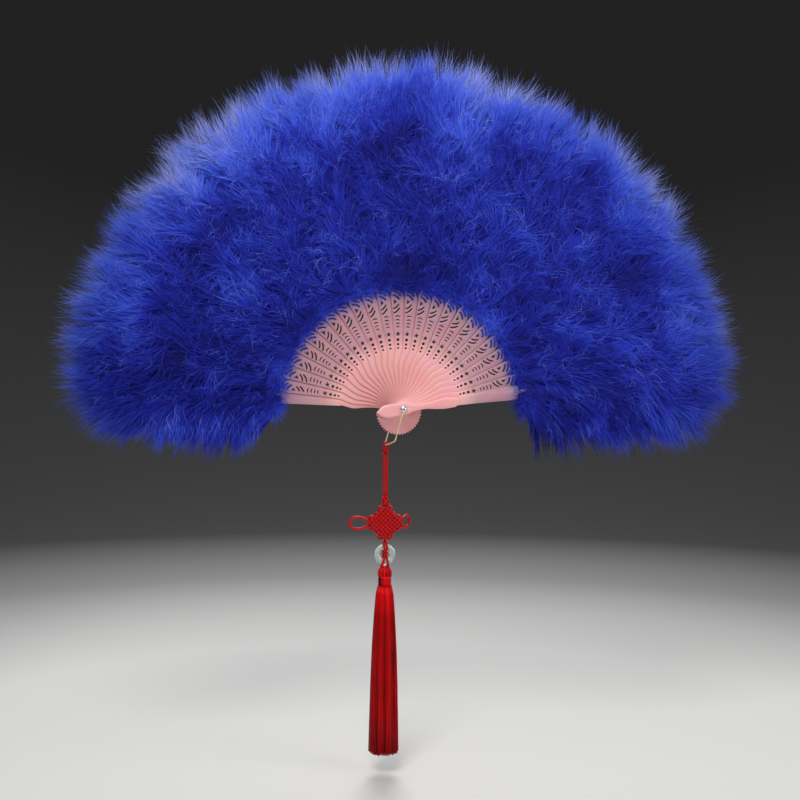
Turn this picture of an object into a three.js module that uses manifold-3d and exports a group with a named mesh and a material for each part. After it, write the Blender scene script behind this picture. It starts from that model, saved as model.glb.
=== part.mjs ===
// A hand-held folding fan: pierced plastic sticks on one rivet, a marabou plume on every stick,
// and a knotted cord with a jade ring and a tassel hanging from a wire bail.
// Millimetres. The open fan stands in the XZ plane with +Z up and its face towards -Y.
// The origin is the centre of the rivet, half way through the stack of sticks.

import * as THREE from 'three';
import { mergeVertices } from 'three/addons/utils/BufferGeometryUtils.js';
import Module from 'manifold-3d';

const wasm = await Module();
wasm.setup();

// Clearances shared by all the pieces
const layerGap = 0.15; // between plates that slide over each other on the rivet
const seatGap = 0.3; // between pieces that rest on each other
const pinClearance = 0.3; // round the rivet's pin, in every plate and in the bail's eyes

// The opened leaf, in degrees: the sticks stand one pitch apart between the front and the back guard
const leaf = {
  innerSticks: 23,
  firstAngle: 13.66, // direction of the first stick above the horizontal
  pitch: 7.06,
  guardPitch: 5.6, // from each guard to the stick next to it
  plumeRadius: 308,
};

// A pierced stick: its blade points outwards and its head lies on the other side of the rivet
const stick = {
  thickness: 1.3,
  bladeLength: 105.4,
  bladeWidth: 12,
  headLength: 24,
  headWidth: 11.6,
  ribWidth: 3.6,
  ribOffset: -3.2, // the guards' ribs lie on their axes
  ribEnd: 190,
};

const guard = {
  thickness: 2.2,
  setBack: 1.4, // from the sticks' tips back to the guards' cut ends
  width: 12.6,
  panelHeight: 0.3,
  panelLength: 49,
  panelEnd: 5, // left bare between the panel and the guard's cut end
  panelWidth: 7.2,
};

const plume = {
  tipGap: 1.6, // between the sticks' tips and the plumes
  thickness: 48,
  sideGap: 0.3, // between neighbouring plumes
  frontSpread: 18, // how far the front guard's plume falls below its guard, in degrees
  backSpread: 19, // how far the back guard's plume falls below its guard, in degrees
  scallop: 10, // how far a plume's tip stands out past its sides
  droop: 37, // how far below the rivet the guards' plumes reach
};

const rivet = { pinRadius: 1.6, headRadius: 3, headHeight: 1.6 };

// The bail's bar crosses below the sticks' heads: less far in front, and it slopes down to the cord
const bail = { wire: 1.2, drop: 11, frontDrop: 4.5, tilt: 15, bend: 2.4 };

const cord = { diameter: 2.2, freeLength: 36 };

const loopKnot = { width: 6.4, height: 7 };

const buttonKnot = { width: 8, height: 8 };

const endlessKnot = {
  side: 23, // edge of the woven square, which stands on its corner
  runs: 4, // doubled runs of cord each way
  runWidth: 4.5,
  runThickness: 3,
  earLength: 19,
  earWidth: 13.5,
  leftEarTurn: 8, // how far each big ear leans back, in degrees
  rightEarTurn: 55,
  smallEar: 2, // radius of a small ear's centre line
};

const jadeRing = { radius: 9.7, holeRadius: 4.2, thickness: 3.4, edge: 1 };

const tassel = {
  headWidth: 12.4,
  headHeight: 8.6,
  bandWidth: 11.6,
  bandHeight: 8,
  skirtLength: 151,
  skirtTop: 12.6,
  skirtWidth: 26.5,
  threadGroups: 10, // folds round the skirt
  raggedEnd: 5, // how far the threads' ends differ
};

// Worked out from the sizes above; the layers lie along Y
const holeRadius = rivet.pinRadius + pinClearance;
const guardLength = stick.bladeLength - guard.setBack;
const plumeStart = stick.bladeLength + plume.tipGap;
const bailLength = stick.headLength + bail.drop;
const cordSpacing = cord.diameter + seatGap;
const lastIndex = leaf.innerSticks + 1;
const layerPitch = stick.thickness + layerGap;
const stackHalf = ((leaf.innerSticks - 1) * layerPitch + stick.thickness) / 2;
const guardY = stackHalf + layerGap + guard.thickness / 2;
const guardFaceY = guardY + guard.thickness / 2;
const eyeY = guardFaceY + layerGap + bail.wire / 2;
const rivetSeatY = eyeY + bail.wire / 2 + layerGap;
const cordPlace = eyeY - bail.bend - cord.diameter / 2 - seatGap; // along the bail's bar

// Finishes
const pinkPlastic = new THREE.MeshStandardMaterial({ color: 0xe8a4ae, roughness: 0.35, metalness: 0 });
const blueFeather = new THREE.MeshStandardMaterial({ color: 0x2a34b8, roughness: 0.95, metalness: 0 });
const silver = new THREE.MeshStandardMaterial({ color: 0xc9ccd0, roughness: 0.25, metalness: 1 });
const goldWire = new THREE.MeshStandardMaterial({ color: 0xd8b04a, roughness: 0.3, metalness: 1 });
const redCord = new THREE.MeshStandardMaterial({ color: 0xc4151c, roughness: 0.6, metalness: 0 });
const paleJade = new THREE.MeshStandardMaterial({ color: 0xdfe9e4, roughness: 0.15, metalness: 0 });

const fan = new THREE.Group();

function solidOf(geometry) {
  const bare = geometry.clone();
  bare.deleteAttribute('normal');
  bare.deleteAttribute('uv');
  const merged = mergeVertices(bare, 1e-4);
  const vertProperties = new Float32Array(merged.attributes.position.array);
  const triVerts = new Uint32Array(merged.index.array);
  return new wasm.Manifold(new wasm.Mesh({ numProp: 3, vertProperties, triVerts }));
}

function geometryOf(solid) {
  const { vertProperties, triVerts } = solid.getMesh();
  const geometry = new THREE.BufferGeometry();
  geometry.setAttribute('position', new THREE.BufferAttribute(vertProperties, 3));
  geometry.setIndex(new THREE.BufferAttribute(triVerts, 1));
  return geometry;
}

function place(name, geometry, material, parent = fan) {
  const mesh = new THREE.Mesh(geometry, material);
  mesh.name = name;
  parent.add(mesh);
  return mesh;
}

function pointsOf(pairs, acrossUnit, alongUnit) {
  return pairs.map(([across, along]) => new THREE.Vector2(across * acrossUnit, along * alongUnit));
}

// A flat plate drawn with x across and y along the stick becomes one that points up, centred on Y.
// The outline runs from the head up the left edge, so it is turned to run anticlockwise.
function uprightPlate(outline, holes, thickness) {
  const shape = new THREE.Shape(outline.reverse());
  shape.holes.push(...holes);
  const plate = new THREE.ExtrudeGeometry(shape, { depth: thickness, bevelEnabled: false });
  plate.rotateX(Math.PI / 2);
  plate.translate(0, thickness / 2, 0);
  return plate;
}

// Direction of a stick or guard above the horizontal, in degrees
function stickAngle(index) {
  const nearest = Math.min(Math.max(index, 1), leaf.innerSticks);
  return leaf.firstAngle + (nearest - 1) * leaf.pitch + (index - nearest) * leaf.guardPitch;
}

const layerY = (index) => (index - lastIndex / 2) * layerPitch;
const turnTo = (angle) => THREE.MathUtils.degToRad(90 - angle);

// Outline of a stick, as shares of the blade's width and length, from the head up to the tip.
// The left edge is the one that shows in the opened leaf.
const leftEdgeShares = [
  [-0.43, 0.02], [-0.25, 0.1], [-0.22, 0.21], [-0.33, 0.3], [-0.4, 0.36],
  [-0.33, 0.42], [-0.23, 0.48], [-0.27, 0.6], [-0.41, 0.8], [-0.525, 0.95],
];
const rightEdgeShares = [
  [0.48, 0.915], [0.46, 0.78], [0.41, 0.6], [0.39, 0.44], [0.41, 0.35],
  [0.34, 0.27], [0.23, 0.19], [0.26, 0.1], [0.43, 0.02],
];
const tipShares = [[-0.36, 1], [0.25, 0.965]];
const headShares = [[0.5, -0.45], [0.4, -0.75], [0, -1], [-0.4, -0.75], [-0.5, -0.45]];
const edgeSteps = 10;

function edgeCurve(shares) {
  return new THREE.SplineCurve(pointsOf(shares, stick.bladeWidth, stick.bladeLength)).getPoints(edgeSteps);
}

function stickOutline() {
  const ribLeft = stick.ribOffset - stick.ribWidth / 2;
  const ribRight = stick.ribOffset + stick.ribWidth / 2;
  const [tipLeft, tipRight] = pointsOf(tipShares, stick.bladeWidth, stick.bladeLength);
  const rib = [
    new THREE.Vector2(ribLeft, tipLeft.y),
    new THREE.Vector2(ribLeft, stick.ribEnd - stick.ribWidth / 2),
    new THREE.Vector2(stick.ribOffset, stick.ribEnd),
    new THREE.Vector2(ribRight, stick.ribEnd - stick.ribWidth / 2),
    new THREE.Vector2(ribRight, tipLeft.y - stick.ribWidth / 2),
  ];
  const head = pointsOf(headShares, stick.headWidth, stick.headLength);
  return [...edgeCurve(leftEdgeShares), ...rib, tipRight, ...edgeCurve(rightEdgeShares), ...head];
}

// Piercing of one stick, as shares of the blade: places along it of its length, and the rest of its
// width. Every motif is centred on a line a little left of the stick's axis.
const axisShare = -0.03;
const dotShares = [
  { along: 0.499, radius: 0.08 }, { along: 0.53, radius: 0.096 }, { along: 0.568, radius: 0.117 },
];
const starShares = { along: 0.616, outer: 0.175, inner: 0.075 };
const archShares = [
  { along: 0.669, width: 0.2 }, { along: 0.697, width: 0.24 },
  { along: 0.726, width: 0.28 }, { along: 0.759, width: 0.33 },
];
const archOutline = [[-0.5, 0, 0], [0, 1, 0], [0.5, 0, 0], [0.22, 0.85, -1], [-0.22, 0.85, -1]];
const archRiseShare = 0.08;
const archBandShare = 0.062;
const chevronSlotShare = 0.083;
const chevronSlotShares = [
  { from: [-0.305, 0.783], to: [0.104, 0.829] },
  { from: [-0.33, 0.823], to: [0.046, 0.858] },
  { from: [-0.33, 0.945], to: [0.104, 0.907] },
  { from: [-0.346, 0.977], to: [0.204, 0.938] },
];
const chevronWedgeShares = [[-0.3, 0.86], [-0.3, 0.904], [-0.067, 0.882]];

const pierceAt = (across, along) => new THREE.Vector2(across * stick.bladeWidth, along * stick.bladeLength);

// Corners on a circle, or on two circles by turns when a second radius is given
function ringPath(centre, radius, count, inner = radius) {
  const corners = [];
  for (let k = 0; k < count; k += 1) {
    const angle = (2 * Math.PI * k) / count;
    const reach = k % 2 ? inner : radius;
    corners.push(new THREE.Vector2(centre.x + reach * Math.sin(angle), centre.y + reach * Math.cos(angle)));
  }
  return new THREE.Path(corners);
}

function archPath(centre, width) {
  const rise = archRiseShare * stick.bladeWidth;
  const band = archBandShare * stick.bladeWidth;
  const corners = archOutline.map(
    ([side, up, inside]) => new THREE.Vector2(centre.x + side * width, centre.y + up * rise + inside * band),
  );
  return new THREE.Path(corners);
}

function slotPath(from, to) {
  const half = to.clone().sub(from).normalize().multiplyScalar((chevronSlotShare * stick.bladeWidth) / 2);
  half.set(-half.y, half.x);
  const nearEdge = [from.clone().add(half), to.clone().add(half)];
  const farEdge = [to.clone().sub(half), from.clone().sub(half)];
  return new THREE.Path([...nearEdge, ...farEdge]);
}

function piercing() {
  const width = stick.bladeWidth;
  const holes = dotShares.map((dot) => ringPath(pierceAt(axisShare, dot.along), dot.radius * width, 5));
  const star = pierceAt(axisShare, starShares.along);
  holes.push(ringPath(star, starShares.outer * width, 10, starShares.inner * width));
  for (const arch of archShares) {
    holes.push(archPath(pierceAt(axisShare, arch.along), arch.width * width));
  }
  for (const slot of chevronSlotShares) {
    holes.push(slotPath(pierceAt(...slot.from), pierceAt(...slot.to)));
  }
  holes.push(new THREE.Path(chevronWedgeShares.map(([across, along]) => pierceAt(across, along))));
  return holes;
}

const rivetHole = () => ringPath(new THREE.Vector2(), holeRadius, 9);

function piercedStick() {
  return uprightPlate(stickOutline(), [rivetHole(), ...piercing()], stick.thickness);
}

// A guard is a thicker, unpierced stick that is cut straight across, with a raised panel outside
const guardWaistShare = 0.5;
const guardShoulderShare = 0.6;

function guardOutline() {
  const half = guard.width / 2;
  const ribHalf = stick.ribWidth / 2;
  const lowEdge = (shares) => edgeCurve(shares.filter(([, along]) => along < guardWaistShare));
  const rib = [
    new THREE.Vector2(-ribHalf, guardLength),
    new THREE.Vector2(-ribHalf, stick.ribEnd - ribHalf),
    new THREE.Vector2(0, stick.ribEnd),
    new THREE.Vector2(ribHalf, stick.ribEnd - ribHalf),
    new THREE.Vector2(ribHalf, guardLength),
  ];
  const shoulder = guardLength * guardWaistShare;
  return [
    ...lowEdge(leftEdgeShares),
    new THREE.Vector2(-half * guardShoulderShare, shoulder),
    new THREE.Vector2(-half, guardLength),
    ...rib,
    new THREE.Vector2(half, guardLength),
    new THREE.Vector2(half * guardShoulderShare, shoulder),
    ...lowEdge(rightEdgeShares),
    ...pointsOf(headShares, stick.headWidth, stick.headLength),
  ];
}

function guardPlate(outward) {
  const plate = solidOf(uprightPlate(guardOutline(), [rivetHole()], guard.thickness));
  const panel = new THREE.BoxGeometry(guard.panelWidth, guard.thickness, guard.panelLength);
  panel.translate(0, outward * guard.panelHeight, guardLength - guard.panelEnd - guard.panelLength / 2);
  return geometryOf(plate.add(solidOf(panel)));
}

// A plume fills the wedge round its rib: pillowed in section, full in the middle, rounded at the tip
const plumeProfileShares = [
  [0, 0.4], [0.1, 0.62], [0.28, 0.86], [0.55, 1], [0.8, 0.88], [0.93, 0.6], [1, 0.22],
];
const plumeSideShare = 0.72; // thickness at a plume's sides

// The guards' plumes hang below the horizontal, but no lower than the plumes' droop
function plumeReach(elevation) {
  const below = THREE.MathUtils.degToRad(Math.max(-elevation, elevation - 180, 0));
  return Math.min(leaf.plumeRadius, plume.droop / Math.sin(below));
}

function plumeWedge(index, fromAngle, toAngle, lobes) {
  const columns = 2 * lobes;
  const vertices = [];
  for (const [along, full] of plumeProfileShares) {
    const ring = [];
    for (let column = 0; column <= columns; column += 1) {
      const crest = column % 2;
      const turn = fromAngle + ((toAngle - fromAngle) * column) / columns;
      const drop = plume.scallop * (1 - crest) * along ** 4;
      const radius = plumeStart + along * (plumeReach(stickAngle(index) - turn) - plumeStart) - drop;
      const inset = (plume.sideGap / 2 / radius) * (1 - (2 * column) / columns);
      const angle = THREE.MathUtils.degToRad(turn) + inset;
      const half = (plume.thickness / 2) * full * (crest ? 1 : plumeSideShare);
      ring.push([radius * Math.sin(angle), -half, radius * Math.cos(angle)]);
    }
    const back = ring.map(([x, y, z]) => [x, -y, z]).reverse();
    vertices.push(...ring, ...back);
  }
  return loft(vertices, plumeProfileShares.length);
}

// Skins rings of equal counts into one surface, capped at its ends or closed on itself
function loft(vertices, rings, closed = false) {
  const count = vertices.length / rings;
  const faces = [];
  for (let ring = 0; ring < (closed ? rings : rings - 1); ring += 1) {
    const here = ring * count;
    const there = ((ring + 1) % rings) * count;
    for (let k = 0; k < count; k += 1) {
      const next = (k + 1) % count;
      faces.push(here + k, here + next, there + k, here + next, there + next, there + k);
    }
  }
  const last = (rings - 1) * count;
  for (let k = 1; k < count - 1 && !closed; k += 1) {
    faces.push(0, k + 1, k, last, last + k, last + k + 1);
  }
  const geometry = new THREE.BufferGeometry();
  geometry.setAttribute('position', new THREE.Float32BufferAttribute(vertices.flat(), 3));
  geometry.setIndex(signedVolume(vertices, faces) < 0 ? faces.reverse() : faces);
  return geometry;
}

// Positive when the faces point outwards
function signedVolume(vertices, faces) {
  const corner = (k) => new THREE.Vector3(...vertices[faces[k]]);
  let volume = 0;
  for (let k = 0; k < faces.length; k += 3) {
    volume += corner(k).dot(corner(k + 1).cross(corner(k + 2))) / 6;
  }
  return volume;
}

function ribSlot(thickness, offset) {
  const width = stick.ribWidth + 2 * seatGap;
  const start = plumeStart - plume.scallop;
  const length = stick.ribEnd + seatGap - start;
  const slot = new THREE.BoxGeometry(width, thickness + 2 * seatGap, length);
  slot.translate(offset, 0, start + length / 2);
  return slot;
}

function plumeOn(index) {
  const outermost = index === 0 || index === lastIndex;
  const half = outermost ? leaf.guardPitch - leaf.pitch / 2 : leaf.pitch / 2;
  const from = index === lastIndex ? -plume.backSpread : -half;
  const to = index === 0 ? plume.frontSpread : half;
  const wedge = solidOf(plumeWedge(index, from, to, outermost ? 3 : 1));
  const slot = outermost ? ribSlot(guard.thickness, 0) : ribSlot(stick.thickness, stick.ribOffset);
  return geometryOf(wedge.subtract(solidOf(slot)));
}

function addLeaf() {
  const stickGeometry = piercedStick();
  for (let index = 0; index <= lastIndex; index += 1) {
    const number = String(index).padStart(2, '0');
    const onStick = new THREE.Group();
    onStick.rotation.y = turnTo(stickAngle(index));
    fan.add(onStick);
    if (index === 0) {
      onStick.position.y = -guardY;
      place('front_guard', guardPlate(-1), pinkPlastic, onStick);
    } else if (index === lastIndex) {
      onStick.position.y = guardY;
      place('back_guard', guardPlate(1), pinkPlastic, onStick);
    } else {
      onStick.position.y = layerY(index);
      place(`stick_${number}`, stickGeometry, pinkPlastic, onStick);
    }
    place(`plume_${number}`, plumeOn(index), blueFeather, onStick);
  }
}

function addRivet() {
  const domeShares = [[0, 1], [0.6, 0.8], [1, 0.35], [1, 0]];
  const dome = domeShares.map(
    ([out, up]) => new THREE.Vector2(out * rivet.headRadius, rivetSeatY + up * rivet.headHeight),
  );
  const shank = new THREE.Vector2(rivet.pinRadius, rivetSeatY);
  const topHalf = [...dome, shank];
  const bottomHalf = topHalf.map((point) => new THREE.Vector2(point.x, -point.y));
  place('rivet', new THREE.LatheGeometry([...bottomHalf, ...topHalf.reverse()], 12), silver);
}

// A U of wire: an eye round each end of the rivet, two legs, and a bar that crosses below the heads.
// The bar is level where the cord hangs on it, close to its back leg.
function bailWire() {
  const radius = bail.wire / 2;
  const eyeRadius = rivet.pinRadius + pinClearance + radius;
  const level = cordPlace - cord.diameter;
  const front = -(stick.headLength + bail.frontDrop);
  const slope = (front + bailLength) / (eyeY + level);
  const corner = (side, low, fall) => new THREE.QuadraticBezierCurve3(
    new THREE.Vector3(0, side * eyeY, low + bail.bend),
    new THREE.Vector3(0, side * eyeY, low),
    new THREE.Vector3(0, side * (eyeY - bail.bend), low - fall * bail.bend),
  );
  const frontPoints = corner(-1, front, slope).getPoints(4);
  const backPoints = corner(1, -bailLength, 0).getPoints(4).reverse();
  const levelStart = new THREE.Vector3(0, level, -bailLength);
  const frontEnd = new THREE.Vector3(0, -eyeY, -eyeRadius);
  const backEnd = new THREE.Vector3(0, eyeY, -eyeRadius);
  let wire = solidOf(sweep([frontEnd, ...frontPoints, levelStart, ...backPoints, backEnd], radius, 6));
  for (const side of [-1, 1]) {
    const eye = new THREE.TorusGeometry(eyeRadius, radius, 6, 12);
    eye.rotateX(Math.PI / 2);
    eye.translate(0, side * eyeY, 0);
    wire = wire.add(solidOf(eye));
  }
  return geometryOf(wire);
}

// A round bar through a list of points, with a ring of corners at each of them
function sweep(points, radius, sides, closed = false, widthShare = 1) {
  const count = points.length;
  const vertices = [];
  let across = null;
  for (let k = 0; k < count; k += 1) {
    const here = points[k];
    const before = closed || k > 0 ? points[(k - 1 + count) % count] : here;
    const after = closed || k < count - 1 ? points[(k + 1) % count] : here;
    const heading = after.clone().sub(before).normalize();
    if (across === null) {
      across = Math.abs(heading.x) < 0.9 ? new THREE.Vector3(1, 0, 0) : new THREE.Vector3(0, 1, 0);
    }
    across = across.clone().addScaledVector(heading, -across.dot(heading)).normalize();
    const up = heading.clone().cross(across);
    for (let side = 0; side < sides; side += 1) {
      const angle = (2 * Math.PI * side) / sides;
      const corner = here.clone().addScaledVector(across, widthShare * radius * Math.cos(angle));
      vertices.push(corner.addScaledVector(up, radius * Math.sin(angle)).toArray());
    }
  }
  return loft(vertices, count, closed);
}

function turnedKnot(shares, width, height, top) {
  const profile = shares.map(([out, up]) => new THREE.Vector2((out * width) / 2, top - (1 - up) * height));
  const knot = new THREE.LatheGeometry(profile, 10);
  knot.rotateX(Math.PI / 2);
  return knot;
}

// The cord's two wraps show as two swellings, one over the other
const wrappedShares = [[0, 0], [0.7, 0], [1, 0.24], [0.84, 0.5], [1, 0.76], [0.7, 1], [0, 1]];

function loopKnotSolid() {
  const loopRadius = bail.wire / 2 + seatGap + cord.diameter / 2;
  const loop = new THREE.TorusGeometry(loopRadius, cord.diameter / 2, 6, 12);
  loop.rotateX(Math.PI / 2);
  const knot = turnedKnot(wrappedShares, loopKnot.width, loopKnot.height, -loopRadius);
  return { solid: solidOf(loop).add(solidOf(knot)), bottom: -loopRadius - loopKnot.height };
}

// One strand of the doubled cord; its top is drawn in where the knot pinches it
const cordSteps = 7;
const pinchShare = 0.3;

function cordStrand(side, top) {
  const sides = 8;
  const middle = new THREE.Vector2((side * cordSpacing) / 2, 0);
  const vertices = [];
  const ring = (z, radius) => {
    const section = ringPath(middle, radius, sides).getPoints().slice(0, sides);
    vertices.push(...section.map((point) => [point.x, point.y, z]));
  };
  ring(top, (cord.diameter / 2) * pinchShare);
  for (let k = 0; k <= cordSteps; k += 1) {
    const share = k === 0 ? cord.diameter / 2 / cord.freeLength : k / cordSteps;
    ring(top - cord.freeLength * share, cord.diameter / 2);
  }
  return loft(vertices, cordSteps + 2);
}

// The endless knot: doubled runs of cord crossing each other, with ears where the cord turns back
function endlessKnotSolid(centre) {
  const spacing = endlessKnot.side / endlessKnot.runs;
  const halfDiagonal = endlessKnot.side / Math.SQRT2;
  const parts = [];
  for (const lean of [-1, 1]) {
    const along = new THREE.Vector3(lean, 0, 1).normalize();
    const across = new THREE.Vector3(1, 0, -lean).normalize();
    const depth = new THREE.Vector3(0, (lean * endlessKnot.runThickness) / 3, 0);
    for (let run = 0; run < endlessKnot.runs; run += 1) {
      const offset = (run - (endlessKnot.runs - 1) / 2) * spacing;
      const middle = across.clone().multiplyScalar(offset).add(depth);
      const half = along.clone().multiplyScalar(endlessKnot.side / 2);
      parts.push(flatRun(middle.clone().sub(half), middle.clone().add(half), across));
    }
    for (const end of [-1, 1]) {
      for (const pair of [-1, 1]) {
        const seat = across.clone().multiplyScalar(pair * spacing);
        seat.addScaledVector(along, (end * endlessKnot.side) / 2);
        const ear = new THREE.TorusGeometry(endlessKnot.smallEar, cord.diameter / 2, 4, 6);
        ear.rotateX(Math.PI / 2);
        ear.translate(seat.x, seat.y, seat.z);
        parts.push(ear);
      }
    }
  }
  parts.push(bigEar(-1, halfDiagonal, endlessKnot.leftEarTurn));
  parts.push(bigEar(1, halfDiagonal, endlessKnot.rightEarTurn));
  const knot = parts.map(solidOf).reduce((whole, part) => whole.add(part));
  return knot.translate([0, 0, centre]);
}

function flatRun(from, to, across) {
  const half = endlessKnot.runThickness / 2;
  const wide = endlessKnot.runWidth / 2;
  const sectionShares = [[-1, 0], [0, 1], [1, 0], [0, -1]];
  const vertices = [];
  for (const end of [from, to]) {
    for (const [side, up] of sectionShares) {
      const corner = end.clone().addScaledVector(across, side * wide);
      vertices.push([corner.x, corner.y + up * half, corner.z]);
    }
  }
  return loft(vertices, 2);
}

// A big ear is a pointed loop, fuller at its far side than where it leaves the knot
const earBellyShare = 0.25;

function bigEar(side, start, turn) {
  const steps = 12;
  const points = [];
  for (let k = 0; k < steps; k += 1) {
    const angle = (2 * Math.PI * k) / steps;
    const reach = (endlessKnot.earLength / 2) * (1 - Math.cos(angle)) - cord.diameter;
    const fullness = 1 - earBellyShare * (1 + Math.cos(angle));
    const rise = (endlessKnot.earWidth / 2) * Math.sin(angle) * fullness;
    points.push(new THREE.Vector3(side * reach, 0, side * rise));
  }
  const ear = sweep(points, cord.diameter / 2, 5, true);
  ear.rotateZ(side * THREE.MathUtils.degToRad(turn));
  ear.translate(side * (start - cord.diameter / 2), 0, 0);
  return ear;
}

function jadeDonut(centre) {
  const half = jadeRing.thickness / 2;
  const { radius, holeRadius, edge } = jadeRing;
  const section = [
    [holeRadius, edge - half], [holeRadius + edge, -half], [radius - edge, -half], [radius, edge - half],
    [radius, half - edge], [radius - edge, half], [holeRadius + edge, half], [holeRadius, half - edge],
  ];
  const profile = section.map(([out, up]) => new THREE.Vector2(out, up));
  const ring = new THREE.LatheGeometry([...profile, profile[0]], 18);
  ring.translate(0, 0, centre);
  return ring;
}

// The tassel hangs on a loop of cord that goes round the jade ring and is tied through its hole.
// Its head is a shoulder of thread over a bound band: shares of the head's half width and height.
const headTopShares = [[1, 0.45], [0.75, 0.15], [0.3, 0], [0, 0]];
const loopCornerShare = 0.6; // how early the loop starts to turn round the ring, of its depth

function tasselHead(top, ringCentre) {
  const radius = cord.diameter / 2;
  const depth = jadeRing.thickness / 2 + seatGap + radius;
  const bottom = ringCentre - jadeRing.radius - seatGap - radius;
  const corner = depth * loopCornerShare;
  const route = [
    [0, top - radius], [depth, top - radius - corner], [depth, ringCentre], [depth, bottom + corner],
    [0, bottom], [-depth, bottom + corner], [-depth, ringCentre], [-depth, top - radius - corner],
  ].map(([y, z]) => new THREE.Vector3(0, y, z));
  const doubled = 2;
  const loop = solidOf(sweep(route, radius, 6, true, doubled));
  const tieHeight = ringCentre + jadeRing.holeRadius - seatGap - radius;
  const tie = solidOf(sweep(
    [new THREE.Vector3(0, -depth, tieHeight), new THREE.Vector3(0, depth, tieHeight)], radius, 6,
  ));
  const headTop = bottom;
  const width = tassel.headWidth / 2;
  const bandTop = headTop - tassel.headHeight;
  const profile = [
    [0, bandTop - tassel.bandHeight], [tassel.bandWidth / 2, bandTop - tassel.bandHeight],
    [tassel.bandWidth / 2, bandTop], [width, bandTop],
    ...headTopShares.map(([out, down]) => [out * width, headTop - down * tassel.headHeight]),
  ].map(([out, up]) => new THREE.Vector2(out, up));
  const head = new THREE.LatheGeometry(profile, 16);
  head.rotateX(Math.PI / 2);
  return { solid: loop.add(tie).add(solidOf(head)), bottom: bandTop - tassel.bandHeight };
}

// The skirt of threads: folded round, wider towards its ragged end
const skirtShares = [[0, 0], [0.06, 0.28], [0.3, 0.6], [0.65, 0.85], [1, 1]]; // along, and of the flare
const foldShare = 0.1;

function tasselSkirt(top) {
  const count = 2 * tassel.threadGroups;
  const vertices = [];
  for (const [along, flare] of skirtShares) {
    const radius = (tassel.skirtTop + (tassel.skirtWidth - tassel.skirtTop) * flare) / 2;
    for (let k = 0; k < count; k += 1) {
      const angle = (2 * Math.PI * k) / count;
      const crest = k % 2;
      const out = radius * (1 - foldShare * flare * (1 - crest));
      const ragged = along === 1 ? tassel.raggedEnd * (1 - crest) * Math.cos(3 * angle) ** 2 : 0;
      vertices.push([out * Math.cos(angle), out * Math.sin(angle), top - tassel.skirtLength * along + ragged]);
    }
  }
  return loft(vertices, skirtShares.length);
}

function addPendant() {
  const swing = THREE.MathUtils.degToRad(bail.tilt);
  const bailMesh = place('bail', bailWire(), goldWire);
  bailMesh.rotation.y = swing;
  const hanging = new THREE.Group();
  hanging.position.set(-bailLength * Math.sin(swing), cordPlace, -bailLength * Math.cos(swing));
  fan.add(hanging);

  const loop = loopKnotSolid();
  place('loop_knot', geometryOf(loop.solid), redCord, hanging);
  const cordTop = loop.bottom - seatGap;
  place('lanyard_cord_left', cordStrand(-1, cordTop), redCord, hanging);
  place('lanyard_cord_right', cordStrand(1, cordTop), redCord, hanging);

  const buttonTop = cordTop - cord.freeLength - seatGap;
  const button = turnedKnot(wrappedShares, buttonKnot.width, buttonKnot.height, buttonTop);
  place('button_knot', button, redCord, hanging);

  const outerRun = endlessKnot.side * (1 - 1 / (2 * endlessKnot.runs));
  const knotReach = (outerRun + endlessKnot.runWidth / 2) / Math.SQRT2;
  const knotCentre = buttonTop - buttonKnot.height - seatGap - knotReach;
  place('endless_knot', geometryOf(endlessKnotSolid(knotCentre)), redCord, hanging);

  const tasselTop = knotCentre - knotReach - seatGap;
  const ringCentre = tasselTop - cord.diameter - seatGap - jadeRing.radius;
  place('jade_ring', jadeDonut(ringCentre), paleJade, hanging);
  const head = tasselHead(tasselTop, ringCentre);
  place('tassel_head', geometryOf(head.solid), redCord, hanging);
  place('tassel_skirt', tasselSkirt(head.bottom - seatGap), redCord, hanging);
}

addLeaf();
addRivet();
addPendant();

export default fan;
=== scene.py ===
# %% [markdown]
# A folding feather fan
#
# The fan is a stack of thin pierced sticks on one rivet, between two thicker guards. Every stick
# carries a marabou plume, and a knotted cord with a jade ring and a tassel hangs from a wire bail.
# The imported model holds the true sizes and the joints. This script dresses it: each new piece
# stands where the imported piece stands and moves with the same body.

# %% Load the frame
import math

import bmesh
import bpy
import numpy as np
from mathutils import Matrix, Vector


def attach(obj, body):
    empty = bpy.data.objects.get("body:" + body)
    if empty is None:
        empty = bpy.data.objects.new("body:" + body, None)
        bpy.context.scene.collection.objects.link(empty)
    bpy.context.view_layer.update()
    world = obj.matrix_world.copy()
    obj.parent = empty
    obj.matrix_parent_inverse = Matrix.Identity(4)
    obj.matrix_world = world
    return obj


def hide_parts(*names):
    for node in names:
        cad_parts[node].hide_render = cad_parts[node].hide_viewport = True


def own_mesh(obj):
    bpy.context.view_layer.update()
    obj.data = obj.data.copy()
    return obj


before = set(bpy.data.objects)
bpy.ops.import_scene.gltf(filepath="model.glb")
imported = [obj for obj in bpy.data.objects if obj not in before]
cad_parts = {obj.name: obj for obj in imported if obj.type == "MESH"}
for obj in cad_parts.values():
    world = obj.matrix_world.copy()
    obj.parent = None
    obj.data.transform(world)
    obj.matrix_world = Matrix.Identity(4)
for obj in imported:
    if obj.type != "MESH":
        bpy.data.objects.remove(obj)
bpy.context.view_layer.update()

# %% [markdown]
# Sizes are written in millimetres and turned into metres by one unit. The direction of every stick
# follows from the first stick's direction and one pitch, and the two guards stand a little closer to
# their neighbours. The layers are stacked along Y, with the front guard nearest the camera.

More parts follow.
